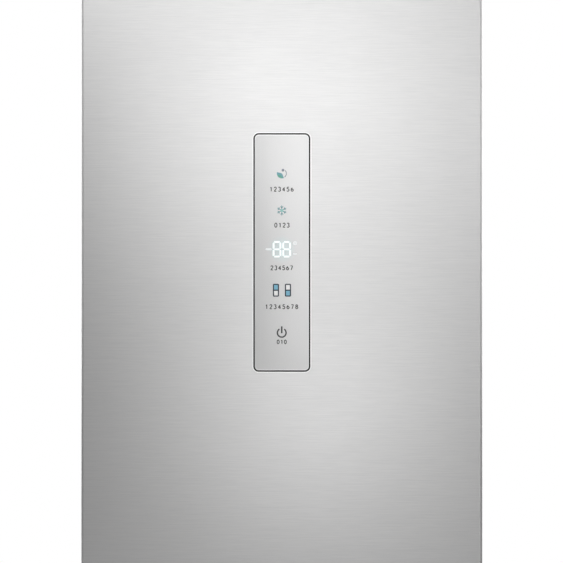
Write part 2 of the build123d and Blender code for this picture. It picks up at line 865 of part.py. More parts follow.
def door_bin(floor, height):
    """Open-topped bin with a rolled front rim and slotted ears that hang on the pegs."""
    y = (bin_back, bin_back + bin_depth)
    body = tray(both(bin_half), y, (floor, floor + height), bin_wall, bin_radius)
    rim = rounded(both(bin_half - bin_radius), (y[1] - bin_wall, y[1] + bin_rim),
                  (floor + height - bin_rim_height, floor + height), bin_rim / 2, Axis.X)
    peg_top = lug_top(floor, height) + running_gap
    ear_z = (peg_top + liner_wall - ear_height, peg_top + lug_drop - liner_wall - running_gap)
    ear = rounded((bin_half - bin_wall, bin_half + ear_thickness),
                  (lug_y - ear_depth / 2, lug_y + ear_depth / 2), ear_z, liner_wall, Axis.X)
    slot = block((dyke_half - dyke_bar - lug_width - running_gap, bin_half + ear_thickness + overrun),
                 (lug_y - lug_depth / 2 - running_gap, lug_y + lug_depth / 2 + running_gap),
                 (ear_z[0] - overrun, peg_top))
    ear -= slot
    return joined([body, rim, ear, mirror(ear, Plane.YZ)])


for number, (floor, height) in enumerate(zip(bin_floors, bin_heights), start=1):
    pieces[f"door_bin_{number}"] = door_bin(floor, height)

# Fridge shelves
shelf_front = ledge_front
shelf_back = ledge_back
shelf_side_gap = 1.5
trim_depth = 14.0
trim_wall = 3.0
slider_half = 12.0
slider_travel = 20.0
slider_tongue = 1.6
slider_tongue_half = 1.5
slider_knob = 3.5
slider_knob_half = 4.0


def shelf_glass(height):
    """Glass plate that lies on its two ledges."""
    return block(both(fridge_half - shelf_side_gap), (shelf_front, shelf_back),
                 (height, height + shelf_thickness))


def shelf_trim(height):
    """Front strip that wraps the edge of one glass plate."""
    strip = rounded(both(fridge_half - ledge_depth - shelf_side_gap),
                    (shelf_front - trim_wall, shelf_front + trim_depth - trim_wall),
                    (height - trim_wall, height + shelf_thickness + trim_wall), trim_wall / 2, Axis.X)
    return strip - shelf_glass(height)


def slider_slot():
    """Groove in the first trim where the humidity slider runs."""
    half = slider_half + slider_travel + running_gap
    middle = shelf_heights[0] + shelf_thickness / 2
    reach = slider_tongue_half + running_gap
    face = shelf_front - trim_wall
    return block(both(half), (face - overrun, face + slider_tongue + running_gap),
                 (middle - reach, middle + reach))


def shelf_trims():
    """Front strips of all four shelves; the lowest one has the slider's groove."""
    trims = [shelf_trim(height) for height in shelf_heights]
    trims[0] -= slider_slot()
    return group(trims)


def humidity_slider():
    """Small knob with a tongue that runs in the groove of the lowest trim."""
    middle = shelf_heights[0] + shelf_thickness / 2
    face = shelf_front - trim_wall
    tongue = block(both(slider_half), (face - running_gap, face + slider_tongue),
                   (middle - slider_tongue_half, middle + slider_tongue_half))
    knob = rounded(both(slider_half), (face - running_gap - slider_knob, face - running_gap),
                   (middle - slider_knob_half, middle + slider_knob_half), slider_tongue, Axis.X)
    return tongue + knob


for number, height in enumerate(shelf_heights, start=1):
    pieces[f"shelf_glass_{number}"] = shelf_glass(height)
pieces["shelf_trims"] = shelf_trims()
pieces["humidity_slider"] = humidity_slider()

# Crisper drawer under the lowest shelf
crisper_side_gap = 22.5
crisper_front_gap = 5.0
crisper_back_gap = 8.0
crisper_top_gap = 10.0
crisper_half = fridge_half - crisper_side_gap
crisper_front = bin_back + bin_depth + bin_rim + crisper_front_gap
crisper_back = duct_front - crisper_back_gap
crisper_top = shelf_heights[0] - crisper_top_gap
drawer_wall = 2.4
drawer_radius = 16.0
handle_height = 26.0
handle_depth = 12.0
handle_wall = 2.5


def drawer(half, y, z):
    """Open-topped drawer whose front rises to a hooked handle along its top."""
    body = tray(both(half), (y[0] + handle_depth, y[1]), z, drawer_wall, drawer_radius)
    half_grip = half - drawer_radius
    lip = block(both(half_grip), (y[0], y[0] + handle_depth + drawer_wall), (z[1] - handle_wall, z[1]))
    hook = block(both(half_grip), (y[0], y[0] + handle_wall), (z[1] - handle_height, z[1]))
    ends = [block(span, (y[0], y[0] + handle_depth + drawer_wall), (z[1] - handle_height, z[1]))
            for span in ((-half_grip, -half_grip + handle_wall), (half_grip - handle_wall, half_grip))]
    inner = rounded(both(half - drawer_wall), (y[0] + handle_depth + drawer_wall, y[1] - drawer_wall),
                    (z[0] + drawer_wall, z[1] + overrun), drawer_radius - drawer_wall, Axis.Z)
    return joined([body, lip, hook] + ends) - inner


pieces["crisper_drawer"] = drawer(crisper_half, (crisper_front, crisper_back),
                                  (fridge_low + floor_rib + running_gap, crisper_top))

# Freezer drawers
drawer_side_gap = 17.5
freezer_drawer_half = freezer_half - drawer_side_gap
drawer_ceilings = drawer_floors[1:] + [freezer_high]
for number, (floor, ceiling, back) in enumerate(zip(drawer_floors, drawer_ceilings, drawer_backs), start=1):
    pieces[f"freezer_drawer_{number}"] = drawer(freezer_drawer_half, (drawer_front, back),
                                                (floor, ceiling - drawer_headroom))

# Fridge air duct with its damper
duct_half = 150.0
duct_top_gap = 28.0
duct_high = fridge_high - duct_top_gap
duct_wall = 2.5
duct_radius = 8.0
vent_half = 45.0
vent_height = 8.0
vent_lift = 100.0
damper_half = 48.0
damper_depth = 27.0
damper_thickness = 2.0
damper_pin = 1.5
damper_ear = 2.5
damper_setback = 3.0
damper_lift = 4.0
damper_axis_y = passage_front + damper_setback
damper_axis_z = fridge_low + damper_lift


def fridge_air_duct():
    """Hollow column on the rear wall with vents and the damper's ears."""
    outer = block(both(duct_half), (duct_front, liner_back), (fridge_low, duct_high))
    front_edges = outer.edges().filter_by(Axis.Z).filter_by(lambda e: e.center().Y < passage_front)
    outer = fillet(front_edges, duct_radius)
    inner = block(both(duct_half - duct_wall), (duct_front + duct_wall, liner_back + overrun),
                  (fridge_low - overrun, duct_high - duct_wall))
    duct = outer - inner - fridge_foot_radius()
    wall = (duct_front - overrun, duct_front + duct_wall + overrun)
    for shelf in shelf_heights:
        height = shelf + vent_lift
        for side in (-1, 1):
            middle = side * (vent_half + vent_height)
            duct -= rounded((middle - vent_half, middle + vent_half), wall,
                            (height, height + vent_height), vent_height / 2 - running_gap, Axis.Y)
    for side in (-1, 1):
        near = damper_half + running_gap
        x = tuple(sorted((side * near, side * (near + damper_ear))))
        ear = block(x, (duct_front + duct_wall, damper_axis_y + 2 * damper_pin),
                    (fridge_low, damper_axis_z + 2 * damper_pin))
        duct += ear - rod(x, damper_axis_y, damper_axis_z, damper_pin + pin_fit)
    return duct


def fridge_foot_radius():
    """What the rounded corner of the liner takes from a piece that stands in it."""
    corner = block(both(half_width), (liner_back - liner_radius, liner_back + overrun),
                   (fridge_low - overrun, fridge_low + liner_radius))
    return corner - rod(both(half_width), liner_back - liner_radius, fridge_low + liner_radius, liner_radius)


def damper_flap():
    """Small door over the passage, with a pin along its front edge."""
    leaf = block(both(damper_half), (damper_axis_y, damper_axis_y + damper_depth),
                 (damper_axis_z - damper_thickness / 2, damper_axis_z + damper_thickness / 2))
    reach = damper_half + running_gap + damper_ear
    return leaf + rod(both(reach), damper_axis_y, damper_axis_z, damper_pin)


pieces["fridge_air_duct"] = fridge_air_duct()
pieces["damper_flap"] = damper_flap()

# Ceiling light of the fridge
light_half = 70.0
light_setback = 10.0
light_width = 50.0
light_front = ledge_front + light_setback
light_back = light_front + light_width
light_depth = 9.0
light_bevel = 4.0


def ceiling_light():
    """Flat lens under the fridge ceiling with sloped sides."""
    lens = block(both(light_half), (light_front, light_back), (fridge_high - light_depth, fridge_high))
    return chamfer(lens.faces().sort_by(Axis.Z)[0].edges(), light_bevel)


pieces["ceiling_light"] = ceiling_light()

# Freezer air duct, evaporator and fan
shroud_side_gap = 11.5
shroud_half = freezer_half - shroud_side_gap
shroud_low_gap = 11.0
shroud_high_gap = 11.0
fan_hole_radius = 50.0
grille_bars = 5
grille_bar = 3.0
inlet_rows = 3
inlet_height = 8.0
inlet_margin = 44.0
fan_radius = 44.0
fan_hub_radius = 14.0
fan_gap = 10.0
fan_front = shroud_front + fan_gap
fan_depth = 16.0
fan_blades = 5
blade_pitch = 32.0
blade_sheet = 2.0
blade_width = 34.0
motor_shaft_radius = 2.0
motor_radius = 22.0
motor_gap = 6.0
motor_length = 26.0
motor_bar_half = 9.0
motor_bar_depth = 5.0
shroud_low = step_height + shroud_low_gap
shroud_high = freezer_high - shroud_high_gap
fan_drop = 61.0
fan_height = shroud_high - fan_drop
inlet_half = shroud_half - inlet_margin
motor_front = fan_front + fan_depth + motor_gap
motor_back = motor_front + motor_length


def freezer_air_duct():
    """Shroud over the evaporator with a fan grille, inlet slots and a neck to the passage."""
    outer = block(both(shroud_half), (shroud_front, liner_back), (shroud_low, shroud_high))
    inner = block(both(shroud_half - duct_wall), (shroud_front + duct_wall, liner_back + overrun),
                  (shroud_low + duct_wall, shroud_high - duct_wall))
    neck = block(both(passage_half + duct_wall), (passage_front - duct_wall, passage_back + duct_wall),
                 (shroud_high - duct_wall, freezer_high))
    shroud = outer - inner + neck
    shroud -= block(both(passage_half), (passage_front, passage_back),
                    (shroud_high - 2 * duct_wall, freezer_high + overrun))
    shroud -= freezer_ceiling_radius()
    face = (shroud_front - overrun, shroud_front + duct_wall + overrun)
    shroud -= rod(0, face, fan_height, fan_hole_radius)
    wide = fan_hole_radius + grille_bar
    for row in range(grille_bars):
        step = 2 * fan_hole_radius / (grille_bars + 1)
        height = fan_height - fan_hole_radius + (row + 1) * step
        shroud += block(both(wide), (shroud_front, shroud_front + duct_wall),
                        (height - grille_bar / 2, height + grille_bar / 2))
    for row in range(inlet_rows):
        height = shroud_low + 2 * inlet_height + row * 2 * inlet_height
        shroud -= rounded(both(inlet_half), face, (height, height + inlet_height),
                          inlet_height / 2 - running_gap, Axis.Y)
    return shroud


def freezer_ceiling_radius():
    """What the rounded corner under the freezer ceiling takes from a piece that reaches into it."""
    corner = block(both(half_width), (liner_back - liner_radius, liner_back + overrun),
                   (freezer_high - liner_radius, freezer_high + overrun))
    return corner - rod(both(half_width), liner_back - liner_radius, freezer_high - liner_radius,
                        liner_radius)


def fan_wheel():
    """Hub with flat blades set at a pitch, and a bore for the motor shaft."""
    y = (fan_front, fan_front + fan_depth)
    wheel = rod(0, y, fan_height, fan_hub_radius)
    for blade in range(fan_blades):
        leaf = Box(blade_width, blade_sheet, fan_radius - fan_hub_radius / 2,
                   align=(Align.CENTER, Align.CENTER, Align.MIN))
        leaf = Rot(0, 0, blade_pitch) * leaf
        leaf = Pos(0, fan_front + fan_depth / 2, fan_height) * (
            Rot(0, 360 * blade / fan_blades, 0) * (Pos(0, 0, fan_hub_radius / 2) * leaf))
        wheel += leaf
    wheel = wheel & rod(0, y, fan_height, fan_radius)
    return wheel - rod(0, (y[0] + duct_wall, y[1] + overrun), fan_height, motor_shaft_radius + pin_fit)


def fan_motor():
    """Motor can on a bar across the shroud, with its shaft."""
    can = rod(0, (motor_front, motor_back), fan_height, motor_radius)
    can = fillet(can.edges().group_by(Axis.Y)[0], duct_wall)
    shaft = rod(0, (fan_front + duct_wall + running_gap, motor_front), fan_height, motor_shaft_radius)
    bar = block(both(shroud_half - duct_wall), (motor_back, motor_back + motor_bar_depth),
                (fan_height - motor_bar_half, fan_height + motor_bar_half))
    return joined([can, shaft, bar])


fin_count = 23
fin_sheet = 0.8
fin_margin = 34.0
fin_gap = 14.0
fin_lift = 24.0
fin_headroom = 30.0
fin_half = shroud_half - fin_margin
fin_front = shroud_front + fin_gap
fin_low = shroud_low + fin_lift
fin_high = fan_height - fan_hole_radius - fin_headroom
coil_radius = 4.0
bend_share = 0.45
coil_rows = 6
coil_margin = 18.0
coil_half = shroud_half - coil_margin
coil_y = (fin_front + liner_back) / 2


def evaporator():
    """Cooling coil: one serpentine tube through a row of thin upright fins."""
    pitch = (fin_high - fin_low) / coil_rows
    points = []
    for row in range(coil_rows):
        height = fin_low + pitch * (row + 1 / 2)
        side = 1 if row % 2 == 0 else -1
        points += [(-side * coil_half, coil_y, height), (side * coil_half, coil_y, height)]
    path = FilletPolyline(*points, radius=pitch * bend_share)
    tube = sweep(Plane(origin=points[0], z_dir=(1, 0, 0)) * Circle(coil_radius), path=path)
    fins = []
    for number in range(fin_count):
        x = -fin_half + number * 2 * fin_half / (fin_count - 1)
        fins.append(block((x - fin_sheet / 2, x + fin_sheet / 2), (fin_front, liner_back),
                          (fin_low, fin_high)))
    return joined([tube] + fins)


pieces["freezer_air_duct"] = freezer_air_duct()
pieces["fan_wheel"] = fan_wheel()
pieces["fan_motor"] = fan_motor()
pieces["evaporator"] = evaporator()

# Machine bay: compressor, its mounts, pipes and tray
compressor_inset = 186.5
compressor_x = inside_half - compressor_inset
compressor_y = (bay_front + cabinet_back) / 2
compressor_radius = 76.0
compressor_headroom = 27.0
compressor_high = bay_roof - compressor_headroom
compressor_top_radius = 42.0
compressor_low_radius = 22.0
compressor_band = 3.0
compressor_band_share = 0.45
compressor_plate = 3.0
mount_height = 16.0
mount_radius = 12.0
mount_x = 84.0
mount_y = 50.0
terminal_width = 34.0
terminal_height = 60.0
terminal_reach = 26.0
plate_low = bay_floor + mount_height


def compressor():
    """Sealed steel can with a weld band, a foot plate and a terminal box."""
    low = plate_low + compressor_plate
    can = rod(compressor_x, compressor_y, (low, compressor_high), compressor_radius)
    can = fillet(can.edges().group_by(Axis.Z)[-1], compressor_top_radius)
    can = fillet(can.edges().group_by(Axis.Z)[0], compressor_low_radius)
    band_z = low + (compressor_high - low) * compressor_band_share
    band = rod(compressor_x, compressor_y, (band_z, band_z + compressor_band),
               compressor_radius + compressor_band)
    plate = rounded((compressor_x - mount_x - mount_radius, compressor_x + mount_x + mount_radius),
                    (compressor_y - mount_y - mount_radius, compressor_y + mount_y + mount_radius),
                    (plate_low, low), mount_radius, Axis.Z)
    box = rounded((compressor_x - compressor_radius - terminal_reach, compressor_x - compressor_radius / 2),
                  (compressor_y - terminal_width / 2, compressor_y + terminal_width / 2),
                  (low + compressor_low_radius, low + compressor_low_radius + terminal_height),
                  compressor_band, Axis.X)
    return joined([can, band, plate, box])


def compressor_mounts():
    """Four rubber feet between the compressor and the base plate."""
    feet = []
    for side in (-1, 1):
        for end in (-1, 1):
            foot = rod(compressor_x + side * mount_x, compressor_y + end * mount_y, (bay_floor, plate_low),
                       mount_radius)
            feet.append(chamfer(foot.edges().group_by(Axis.Z)[-1], compressor_band))
    return group(feet)


tray_wall = 2.0
tray_height = 20.0
tray_half_x = 80.0
tray_half_y = 72.0
tray_radius = 12.0
pipe_radius = 3.5
pipe_bend = 16.0
drier_radius = 9.0
drier_length = 70.0
pipe_run = 120.0
pipe_lift = 46.5
pipe_rise = 64.0
pipe_drop = 42.0
pipe_setback = 22.0
drier_setback = 92.0
pipe_x = compressor_x - compressor_radius - 4 * pipe_bend - pipe_run
pipe_low = bay_floor + pipe_lift
pipe_mid = pipe_low + pipe_rise
pipe_high = bay_roof - pipe_drop
pipe_front = bay_front + pipe_setback
drier_y = bay_front + drier_setback


def evaporation_tray():
    """Shallow pan on top of the compressor that catches defrost water."""
    return tray((compressor_x - tray_half_x, compressor_x + tray_half_x),
                (compressor_y - tray_half_y, compressor_y + tray_half_y),
                (compressor_high, compressor_high + tray_height), tray_wall, tray_radius)


def pipe(points):
    """Copper tube along straight runs joined by round bends."""
    path = FilletPolyline(*points, radius=pipe_bend)
    start = Vector(*points[1]) - Vector(*points[0])
    return sweep(Plane(origin=points[0], z_dir=start) * Circle(pipe_radius), path=path)


def refrigerant_pipes():
    """Suction tube, and discharge tube with a drier, from the compressor to the bay's front wall."""
    wall = bay_front + sheet
    can_side = compressor_x - compressor_radius
    suction = pipe([(can_side + pipe_radius, compressor_y + terminal_width, pipe_mid),
                    (can_side - 2 * pipe_bend, compressor_y + terminal_width, pipe_mid),
                    (can_side - 2 * pipe_bend, compressor_y + terminal_width, pipe_high),
                    (can_side - 2 * pipe_bend, wall, pipe_high)])
    discharge = pipe([(can_side + pipe_radius, pipe_front + 2 * pipe_bend, pipe_mid),
                      (can_side - 4 * pipe_bend, pipe_front + 2 * pipe_bend, pipe_mid),
                      (can_side - 4 * pipe_bend, pipe_front + 2 * pipe_bend, pipe_low),
                      (pipe_x, pipe_front + 2 * pipe_bend, pipe_low),
                      (pipe_x, drier_y, pipe_low),
                      (pipe_x, drier_y, pipe_high - pipe_bend),
                      (pipe_x, wall, pipe_high - pipe_bend)])
    drier_low = pipe_low + 2 * pipe_bend
    drier = rod(pipe_x, drier_y, (drier_low, drier_low + drier_length), drier_radius)
    return group([suction - pieces["compressor"], (discharge + drier) - pieces["compressor"]])


pieces["compressor"] = compressor()
pieces["compressor_mounts"] = compressor_mounts()
pieces["evaporation_tray"] = evaporation_tray()
pieces["refrigerant_pipes"] = refrigerant_pipes()

# Bay cover, cable gland and rear spacers
gland_inset = 77.5
gland_lift = 38.0
gland_x = gland_inset - half_width
gland_z = floor_gap + gland_lift
gland_flange_radius = 11.0
gland_neck_radius = 7.0
gland_bore = 3.75
gland_reach = 6.0
slot_columns = 3
slot_length = 120.0
slot_height = 5.0
slot_pitch = 13.0
slot_column_pitch = 150.0
slot_base = 62.0
slot_top_gap = 12.0
slot_radius = 2.0
slot_room = bay_height - sheet - slot_top_gap - slot_height - slot_base
slot_rows = 1 + int(slot_room / slot_pitch)
spacer_width = 50.0
spacer_height = 28.0
spacer_inset = 82.5
spacer_lift = 98.0
spacer_drop = 224.0
spacer_x = half_width - spacer_inset
spacer_heights = (bay_roof + spacer_lift, cabinet_top - spacer_drop)
spacer_radius = 5.0


def bay_cover():
    """Slotted sheet that closes the machine bay."""
    plate = block(both(half_width), (inside_back, cabinet_back), (floor_gap, bay_roof - sheet))
    y = (inside_back - overrun, cabinet_back + overrun)
    slots = []
    for column in range(slot_columns):
        middle = (column - (slot_columns - 1) / 2) * slot_column_pitch
        for row in range(slot_rows):
            low = floor_gap + slot_base + row * slot_pitch
            slots.append(rounded((middle - slot_length / 2, middle + slot_length / 2), y,
                                 (low, low + slot_height), slot_radius, Axis.Y))
    return plate - slots - rod(gland_x, y, gland_z, gland_neck_radius)


def cable_gland():
    """Round grommet in the bay cover with a bore for the mains lead."""
    flange = rod(gland_x, (cabinet_back, cabinet_back + gland_reach), gland_z, gland_flange_radius)
    flange = chamfer(flange.edges().group_by(Axis.Y)[-1], sheet)
    neck = rod(gland_x, (inside_back, cabinet_back), gland_z, gland_neck_radius)
    back = rod(gland_x, (cabinet_back - gland_reach, inside_back), gland_z, gland_flange_radius - sheet)
    bore = rod(gland_x, (cabinet_back - 2 * gland_reach, overall_depth), gland_z, gland_bore)
    return joined([flange, neck, back]) - bore


def rear_spacers():
    """Four blocks that keep the back away from a wall."""
    blocks = []
    for height in spacer_heights:
        for side in (-1, 1):
            middle = side * spacer_x
            blocks.append(rounded((middle - spacer_width / 2, middle + spacer_width / 2),
                                  (cabinet_back, cabinet_back + rear_spacer_depth),
                                  (height - spacer_height / 2, height + spacer_height / 2),
                                  spacer_radius, Axis.Y))
    return group(blocks)


pieces["bay_cover"] = bay_cover()
pieces["cable_gland"] = cable_gland()
pieces["rear_spacers"] = rear_spacers()

# Feet and rollers
foot_pad_radius = 18.0
foot_pad_height = 10.0
foot_stud_high = 50.0


def foot(x):
    """Round pad on a stud that turns up into the base."""
    base = rod(x, foot_y, (0, foot_pad_height), foot_pad_radius)
    base = chamfer(base.edges().group_by(Axis.Z)[0], sheet)
    return base + rod(x, foot_y, (foot_pad_height, foot_stud_high), foot_stud_radius)


def roller(x):
    """Wheel with a stub axle at both sides, held between its two ears."""
    reach = roller_width / 2 + bracket_gap + bracket_sheet
    wheel = rod((x - roller_width / 2, x + roller_width / 2), roller_y, roller_radius, roller_radius)
    wheel = chamfer(wheel.edges().filter_by(GeomType.CIRCLE), sheet)
    return wheel + rod((x - reach, x + reach), roller_y, roller_radius, roller_axle_radius)


pieces["foot_left"] = foot(-foot_x)
pieces["foot_right"] = foot(foot_x)
pieces["roller_left"] = roller(-roller_x)
pieces["roller_right"] = roller(roller_x)

for name, piece in pieces.items():
    export_step(piece, f"parts/{name}.step")
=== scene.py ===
import json
import math

import bmesh
import bpy
import numpy as np
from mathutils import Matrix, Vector


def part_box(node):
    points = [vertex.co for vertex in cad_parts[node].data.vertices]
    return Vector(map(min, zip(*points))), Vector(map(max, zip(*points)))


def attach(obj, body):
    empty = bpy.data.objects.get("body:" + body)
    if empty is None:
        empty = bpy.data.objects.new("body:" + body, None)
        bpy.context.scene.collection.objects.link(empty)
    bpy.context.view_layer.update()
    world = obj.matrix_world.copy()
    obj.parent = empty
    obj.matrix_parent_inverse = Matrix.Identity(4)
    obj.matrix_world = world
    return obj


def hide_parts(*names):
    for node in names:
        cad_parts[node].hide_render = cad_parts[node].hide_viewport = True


# Fridge freezer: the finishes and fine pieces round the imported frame. Metres, Z up, doors face -Y.
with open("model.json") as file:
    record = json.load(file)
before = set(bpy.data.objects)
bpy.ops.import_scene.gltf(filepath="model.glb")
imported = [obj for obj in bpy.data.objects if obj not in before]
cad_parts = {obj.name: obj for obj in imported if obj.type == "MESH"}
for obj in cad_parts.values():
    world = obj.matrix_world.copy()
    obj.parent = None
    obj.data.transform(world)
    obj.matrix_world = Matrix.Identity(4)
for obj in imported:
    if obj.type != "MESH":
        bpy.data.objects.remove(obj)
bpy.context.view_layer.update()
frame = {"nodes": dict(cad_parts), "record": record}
nodes = frame["nodes"]
plate_low, plate_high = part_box("panel_fascia")
display_low, display_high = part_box("display_segments")
millimetre = 0.001


# Shader maths
class Value:
    """A node socket that adds Math nodes when numbers or other sockets are combined with it."""

    def __init__(self, owner, socket):
        self.owner = owner
        self.socket = socket

    def maths(self, operation, *others):
        """One Math node whose first input is this value."""
        sockets = dict(enumerate((self,) + others))
        return self.owner.add("ShaderNodeMath", {"operation": operation}, sockets).value(0)

    def __add__(self, other):
        return self.maths("ADD", other)

    def __sub__(self, other):
        return self.maths("SUBTRACT", other)

    def __rsub__(self, other):
        return self * -1 + other

    def __mul__(self, other):
        return self.maths("MULTIPLY", other)

    __radd__ = __add__
    __rmul__ = __mul__

    def above(self, limit):
        """1 where the value is over the limit, else 0."""
        return self.maths("GREATER_THAN", limit)

    def span(self, low, high, to_low=0.0, to_high=1.0):
        """The value mapped smoothly from one range to another, held at both ends."""
        made = self.owner.add("ShaderNodeMapRange", {"interpolation_type": "SMOOTHSTEP"},
                              {"Value": self, "From Min": low, "From Max": high,
                               "To Min": to_low, "To Max": to_high})
        return made.value("Result")

    def spread(self):
        """Noise widened to the range from 0 to 1, since nearly all of it lies in the middle."""
        return self.span(0.3, 0.7)


class Node:
    """A shader node with a short way to reach its outputs."""

    def __init__(self, owner, node):
        self.owner = owner
        self.node = node

    def value(self, name):
        """One output of the node."""
        return Value(self.owner, self.node.outputs[name])


class Tree:
    """The nodes of a material or of the world: every node comes from add."""

    def __init__(self, owner):
        owner.use_nodes = True
        self.tree = owner.node_tree
        self.tree.nodes.clear()

    def add(self, kind, settings=None, sockets=None):
        """One node: its settings are made first, then the values or links of its sockets."""
        node = self.tree.nodes.new(kind)
        for name, setting in (settings or {}).items():
            setattr(node, name, setting)
        for name, given in (sockets or {}).items():
            if isinstance(given, Value):
                self.tree.links.new(given.socket, node.inputs[name])
            else:
                node.inputs[name].default_value = given
        return Node(self, node)


class Paint(Tree):
    """One material whose patterns follow the place of a point on its piece."""

    def __init__(self, name):
        self.material = bpy.data.materials.new(name)
        super().__init__(self.material)
        self.place = self.add("ShaderNodeTexCoord").value("Object")

    def noise(self, scale, detail=2.0, roughness=0.5, stretch=(1.0, 1.0, 1.0)):
        """Noise of a number of waves a metre, with its place scaled by a different amount on each axis."""
        scaled = self.add("ShaderNodeMapping", sockets={"Vector": self.place, "Scale": stretch})
        made = self.add("ShaderNodeTexNoise", sockets={"Vector": scaled.value("Vector"), "Scale": scale,
                                                       "Detail": detail, "Roughness": roughness})
        return made.value("Fac")

    def cells(self, scale, output):
        """Cells about evenly spaced points, as a colour for each or the distance from its point."""
        return self.add("ShaderNodeTexVoronoi", sockets={"Vector": self.place, "Scale": scale}).value(output)

    def part(self, name, vector):
        """One of the three numbers of a vector or a colour."""
        return self.add("ShaderNodeSeparateXYZ", sockets={"Vector": vector}).value(name)

    def axis(self, name):
        """One coordinate of the place on the piece, in metres."""
        return self.part(name, self.place)

    def mix(self, amount, first, second):
        """Colour from one to another by an amount."""
        made = self.add("ShaderNodeMix", {"data_type": "RGBA"}, {0: amount, 6: first, 7: second})
        return made.value(2)

    def bump(self, height, distance, strength):
        """Normal tilted by the slope of a height."""
        made = self.add("ShaderNodeBump",
                        sockets={"Height": height, "Distance": distance, "Strength": strength})
        return made.value("Normal")

    def surface(self, **sockets):
        """Finishes the material with one Principled shader; underscores in names stand for spaces."""
        named = {name.replace("_", " "): given for name, given in sockets.items()}
        shader = self.add("ShaderNodeBsdfPrincipled", sockets=named)
        self.add("ShaderNodeOutputMaterial", sockets={"Surface": shader.value("BSDF")})
        return self.material


def grey(level, warm=0.0):
    """Opaque neutral colour, a little warm or cool."""
    return (level * (1 + warm), level, level * (1 - warm), 1.0)


# Brushed steel of the doors
fine_streaks = (18.0, 18.0, 2400.0)
coarse_streaks = (34.0, 34.0, 700.0)
fine_share = 0.6
steel_rough = 0.27

# Silver plate of the control panel: how strongly it bows across and down, and where each bow starts
bow_across = 0.34
bow_down = 0.1
bow_right = 0.045
bow_top = 1.55
plate_level = 0.857
plate_rough = 0.33
plate_contrast = 0.03
plate_grain = 0.002 * millimetre
# Painted glow in the plate's colour round the lit figures: its height, the square of its reach and the shares
# of each colour in it
painted_glow_height = (display_low.z + display_high.z) / 2
painted_glow_reach = 0.0005
painted_glow_shares = (0.93, 1.02, 1.02)

# Where the green of the shelf glass and the light of the guides fade, as two depths behind their fronts
glass_fade = (1.0 * millimetre, 3.5 * millimetre)
guide_fade = (0.5 * millimetre, 3.5 * millimetre)
# Where the light fades beside the two figures, and the strengths of both lights
figures_fade = (14.5 * millimetre, 15.5 * millimetre)
display_strength = 0.95
lens_strength = 20.0

track_stretch = (60.0, 1.0, 900.0)
track_limit = 0.56
plastic_contrast = 0.08


def brushed_steel():
    """Steel brushed along X: long fine streaks, a few coarser ones, and a slow change of roughness."""
    paint = Paint("brushed steel")
    fine = paint.noise(1.0, roughness=0.6, stretch=fine_streaks)
    coarse = paint.noise(1.0, detail=3.0, roughness=0.55, stretch=coarse_streaks)
    cloud = paint.noise(5.0, detail=1.0, roughness=0.4)
    streak = fine * fine_share + coarse * (1 - fine_share)
    tone = streak.spread()
    colour = paint.mix(tone, grey(0.725), grey(0.785, warm=0.004))
    rough = steel_rough + (1 - tone) * 0.045 + cloud * 0.03
    normal = paint.bump(streak, distance=0.02 * millimetre, strength=0.5)
    return paint.surface(Base_Color=colour, Metallic=1.0, Roughness=rough, Normal=normal)


def panel_plate():
    """Fine satin silver of the control panel: a faint metallic grain on a slightly bowed plate.

    The bow is a bump whose height falls with the square of the distance from the right edge, and with the
    square of the distance from a place near the top. A faint mint glow is painted into the base colour:
    painted light from the display, fading with the square of the distance from the lit figures.
    """
    paint = Paint("panel silver")
    grain = paint.noise(5200.0, detail=1.0)
    cloud = paint.noise(9.0)
    across, up = paint.axis("X"), paint.axis("Z")
    dull = grey(plate_level * (1 - plate_contrast))
    bright = grey(plate_level * (1 + plate_contrast), warm=0.003)
    silver = paint.mix(grain.span(0.35, 0.65), dull, bright)
    from_figures = up - painted_glow_height
    # Painted glow: the base colour turns mint near the lit figures, the display's light painted onto the
    # plate
    glow = (across * across + from_figures * from_figures).span(0.0, painted_glow_reach, 1.0, 0.0)
    mint = tuple(plate_level * share for share in painted_glow_shares) + (1.0,)
    from_right = across - bow_right
    from_top = up - bow_top
    bow = from_right * from_right * -bow_across + from_top * from_top * -bow_down
    normal = paint.bump(bow + grain * plate_grain, distance=1.0, strength=1.0)
    # Base colour: silver with the painted mint glow mixed in
    return paint.surface(Base_Color=paint.mix(glow, silver, mint), Metallic=1.0,
                         Roughness=plate_rough + cloud * 0.04, Normal=normal)


def grained_plastic(name, level, rough=0.45, grain_scale=1500.0, depth=0.03 * millimetre):
    """Moulded plastic with a fine leather-like grain and slight tone changes."""
    paint = Paint(name)
    grain = paint.noise(grain_scale)
    cloud = paint.noise(14.0)
    dark, light = grey(level * (1 - plastic_contrast)), grey(level * (1 + plastic_contrast))
    return paint.surface(Base_Color=paint.mix(cloud.spread(), dark, light), Roughness=rough + cloud * 0.08,
                         Normal=paint.bump(grain, depth, strength=0.5))


def white_liner():
    """Vacuum-formed white lining: glossy, with a very slight orange peel."""
    paint = Paint("white liner")
    peel = paint.noise(260.0)
    cloud = paint.noise(4.0)
    colour = paint.mix(cloud.spread(), (0.80, 0.82, 0.83, 1.0), (0.86, 0.875, 0.88, 1.0))
    return paint.surface(Base_Color=colour, Roughness=0.28 + cloud * 0.08,
                         Normal=paint.bump(peel, distance=0.04 * millimetre, strength=0.4))


def clear_plastic():
    """Clear moulded plastic of the bins and drawers, very faintly frosted."""
    paint = Paint("clear plastic")
    frost = paint.noise(25.0)
    colour = paint.mix(frost.spread(), (0.89, 0.93, 0.95, 1.0), (0.93, 0.955, 0.97, 1.0))
    return paint.surface(Base_Color=colour, Roughness=0.06 + frost * 0.05, IOR=1.35,
                         Alpha=0.22 + frost * 0.03)


